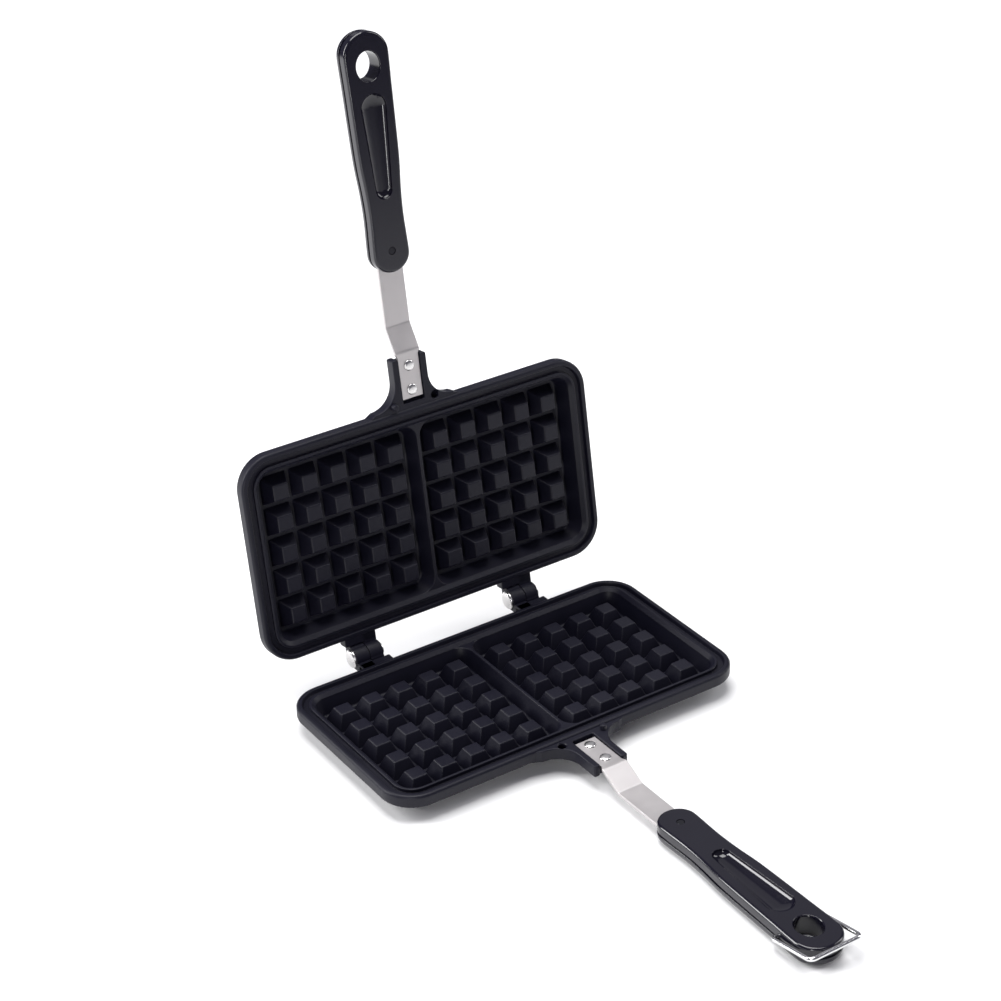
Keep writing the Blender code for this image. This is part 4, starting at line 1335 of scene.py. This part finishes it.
@dataclass
class Studio:
    """Pale floor, soft lights and the camera of the photograph."""

    camera_place: Triple = (-0.67129, -1.01897, 0.83066)
    right: Triple = (0.83031, -0.55684, -0.02267)
    up: Triple = (0.29228, 0.40046, 0.86845)
    lens: float = 91.70
    sensor: float = 36.0
    far_clip: float = 20.0
    floor_level: float = -2.1 * MM
    floor_size: float = 6.0
    floor_shade: float = 0.92
    floor_rough: float = 0.9
    target: Triple = (0, 0, 0.08)
    air: Triple = (0.82, 0.80, 1.0)
    air_strength: float = 0.14
    lamps: tuple[Lamp, ...] = (Lamp("left_softbox", (-1.6, 1.1, 1.15), (0.6, 1.6), 46.0),
                               Lamp("front_strip", (-1.2, -1.3, 0.45), (0.25, 0.8), 9.0),
                               Lamp("top_softbox", (0.0, 0.3, 2.4), (1.6, 1.6), 64.0),
                               Lamp("back_softbox", (1.3, 2.1, 1.6), (2.2, 1.4), 3.0),
                               Lamp("right_strip", (1.8, -0.6, 1.2), (0.5, 1.6), 16.0))

    def camera(self) -> None:
        """Place the camera where the photograph was taken from."""
        data = bpy.data.cameras.new("photo_camera")
        data.sensor_width = self.sensor
        data.lens = self.lens
        data.clip_end = self.far_clip
        camera = add_object("photo_camera", data)
        right = Vector(self.right).normalized()
        up = Vector(self.up)
        up = (up - right * up.dot(right)).normalized()
        turn = Matrix((right, up, right.cross(up))).transposed().to_4x4()
        camera.matrix_world = Matrix.Translation(self.camera_place) @ turn
        bpy.context.scene.camera = camera

    def floor(self) -> None:
        """Lay the pale floor."""
        skin = Skin()
        bmesh.ops.create_grid(skin.mesh, x_segments=1, y_segments=1, size=self.floor_size,
                              matrix=Matrix.Translation((0, 0, self.floor_level)))
        floor = skin.tool("studio_floor")
        paper = bpy.data.materials.new("pale_paper")
        paper.use_nodes = True
        fill(paper.node_tree.nodes["Principled BSDF"],
             {"Base Color": (*[self.floor_shade] * 3, 1.0), "Roughness": self.floor_rough})
        wear(floor, paper)

    def build(self) -> None:
        """Set the whole studio up."""
        self.camera()
        self.floor()
        for lamp in self.lamps:
            lamp.hang(Vector(self.target))
        world = bpy.data.worlds.new("studio_air")
        world.use_nodes = True
        fill(world.node_tree.nodes["Background"], {"Color": (*self.air, 1.0), "Strength": self.air_strength})
        bpy.context.scene.world = world
        bpy.context.scene.view_settings.view_transform = "Standard"


def wear(piece: Piece, material: bpy.types.Material) -> None:
    """Give a piece its only material."""
    piece.data.materials.clear()
    piece.data.materials.append(material)


def main() -> None:
    """Build every piece in order and dress it."""
    logging.basicConfig(level=logging.INFO, format="%(message)s")
    groups = {texture: texture.group() for texture in (GRAIN, BRUSH)}
    casting, moulding, turned, blued = (item.material(groups) for item in (CASTING, MOULDING, TURNED, BLUED))
    straps = {Half.LOWER: STRAP_LOWER.material(groups), Half.UPPER: STRAP_UPPER.material(groups)}
    for half in Half:
        strap, handle = Strap(half), Handle(half)
        wear(PlateCasting(half).build(), casting)
        LOG.info("%s plate cast", half.value)
        wear(strap.build(), straps[half])
        for rivet in strap.build_rivets():
            wear(rivet, turned)
        LOG.info("%s strap riveted", half.value)
        wear(handle.build(), moulding)
        wear(handle.build_pin(), blued)
        LOG.info("%s handle fitted", half.value)
    for side, centre in (("left", -HINGE_OFFSET), ("right", HINGE_OFFSET)):
        for piece in Hinge(centre, side).build():
            wear(piece, turned)
        LOG.info("%s hinge pinned", side)
    wear(Bail(Handle(Half.LOWER).pivot).build(), WIRE.material(groups))
    LOG.info("bail fitted")
    Studio().build()


if __name__ == "__main__":
    main()
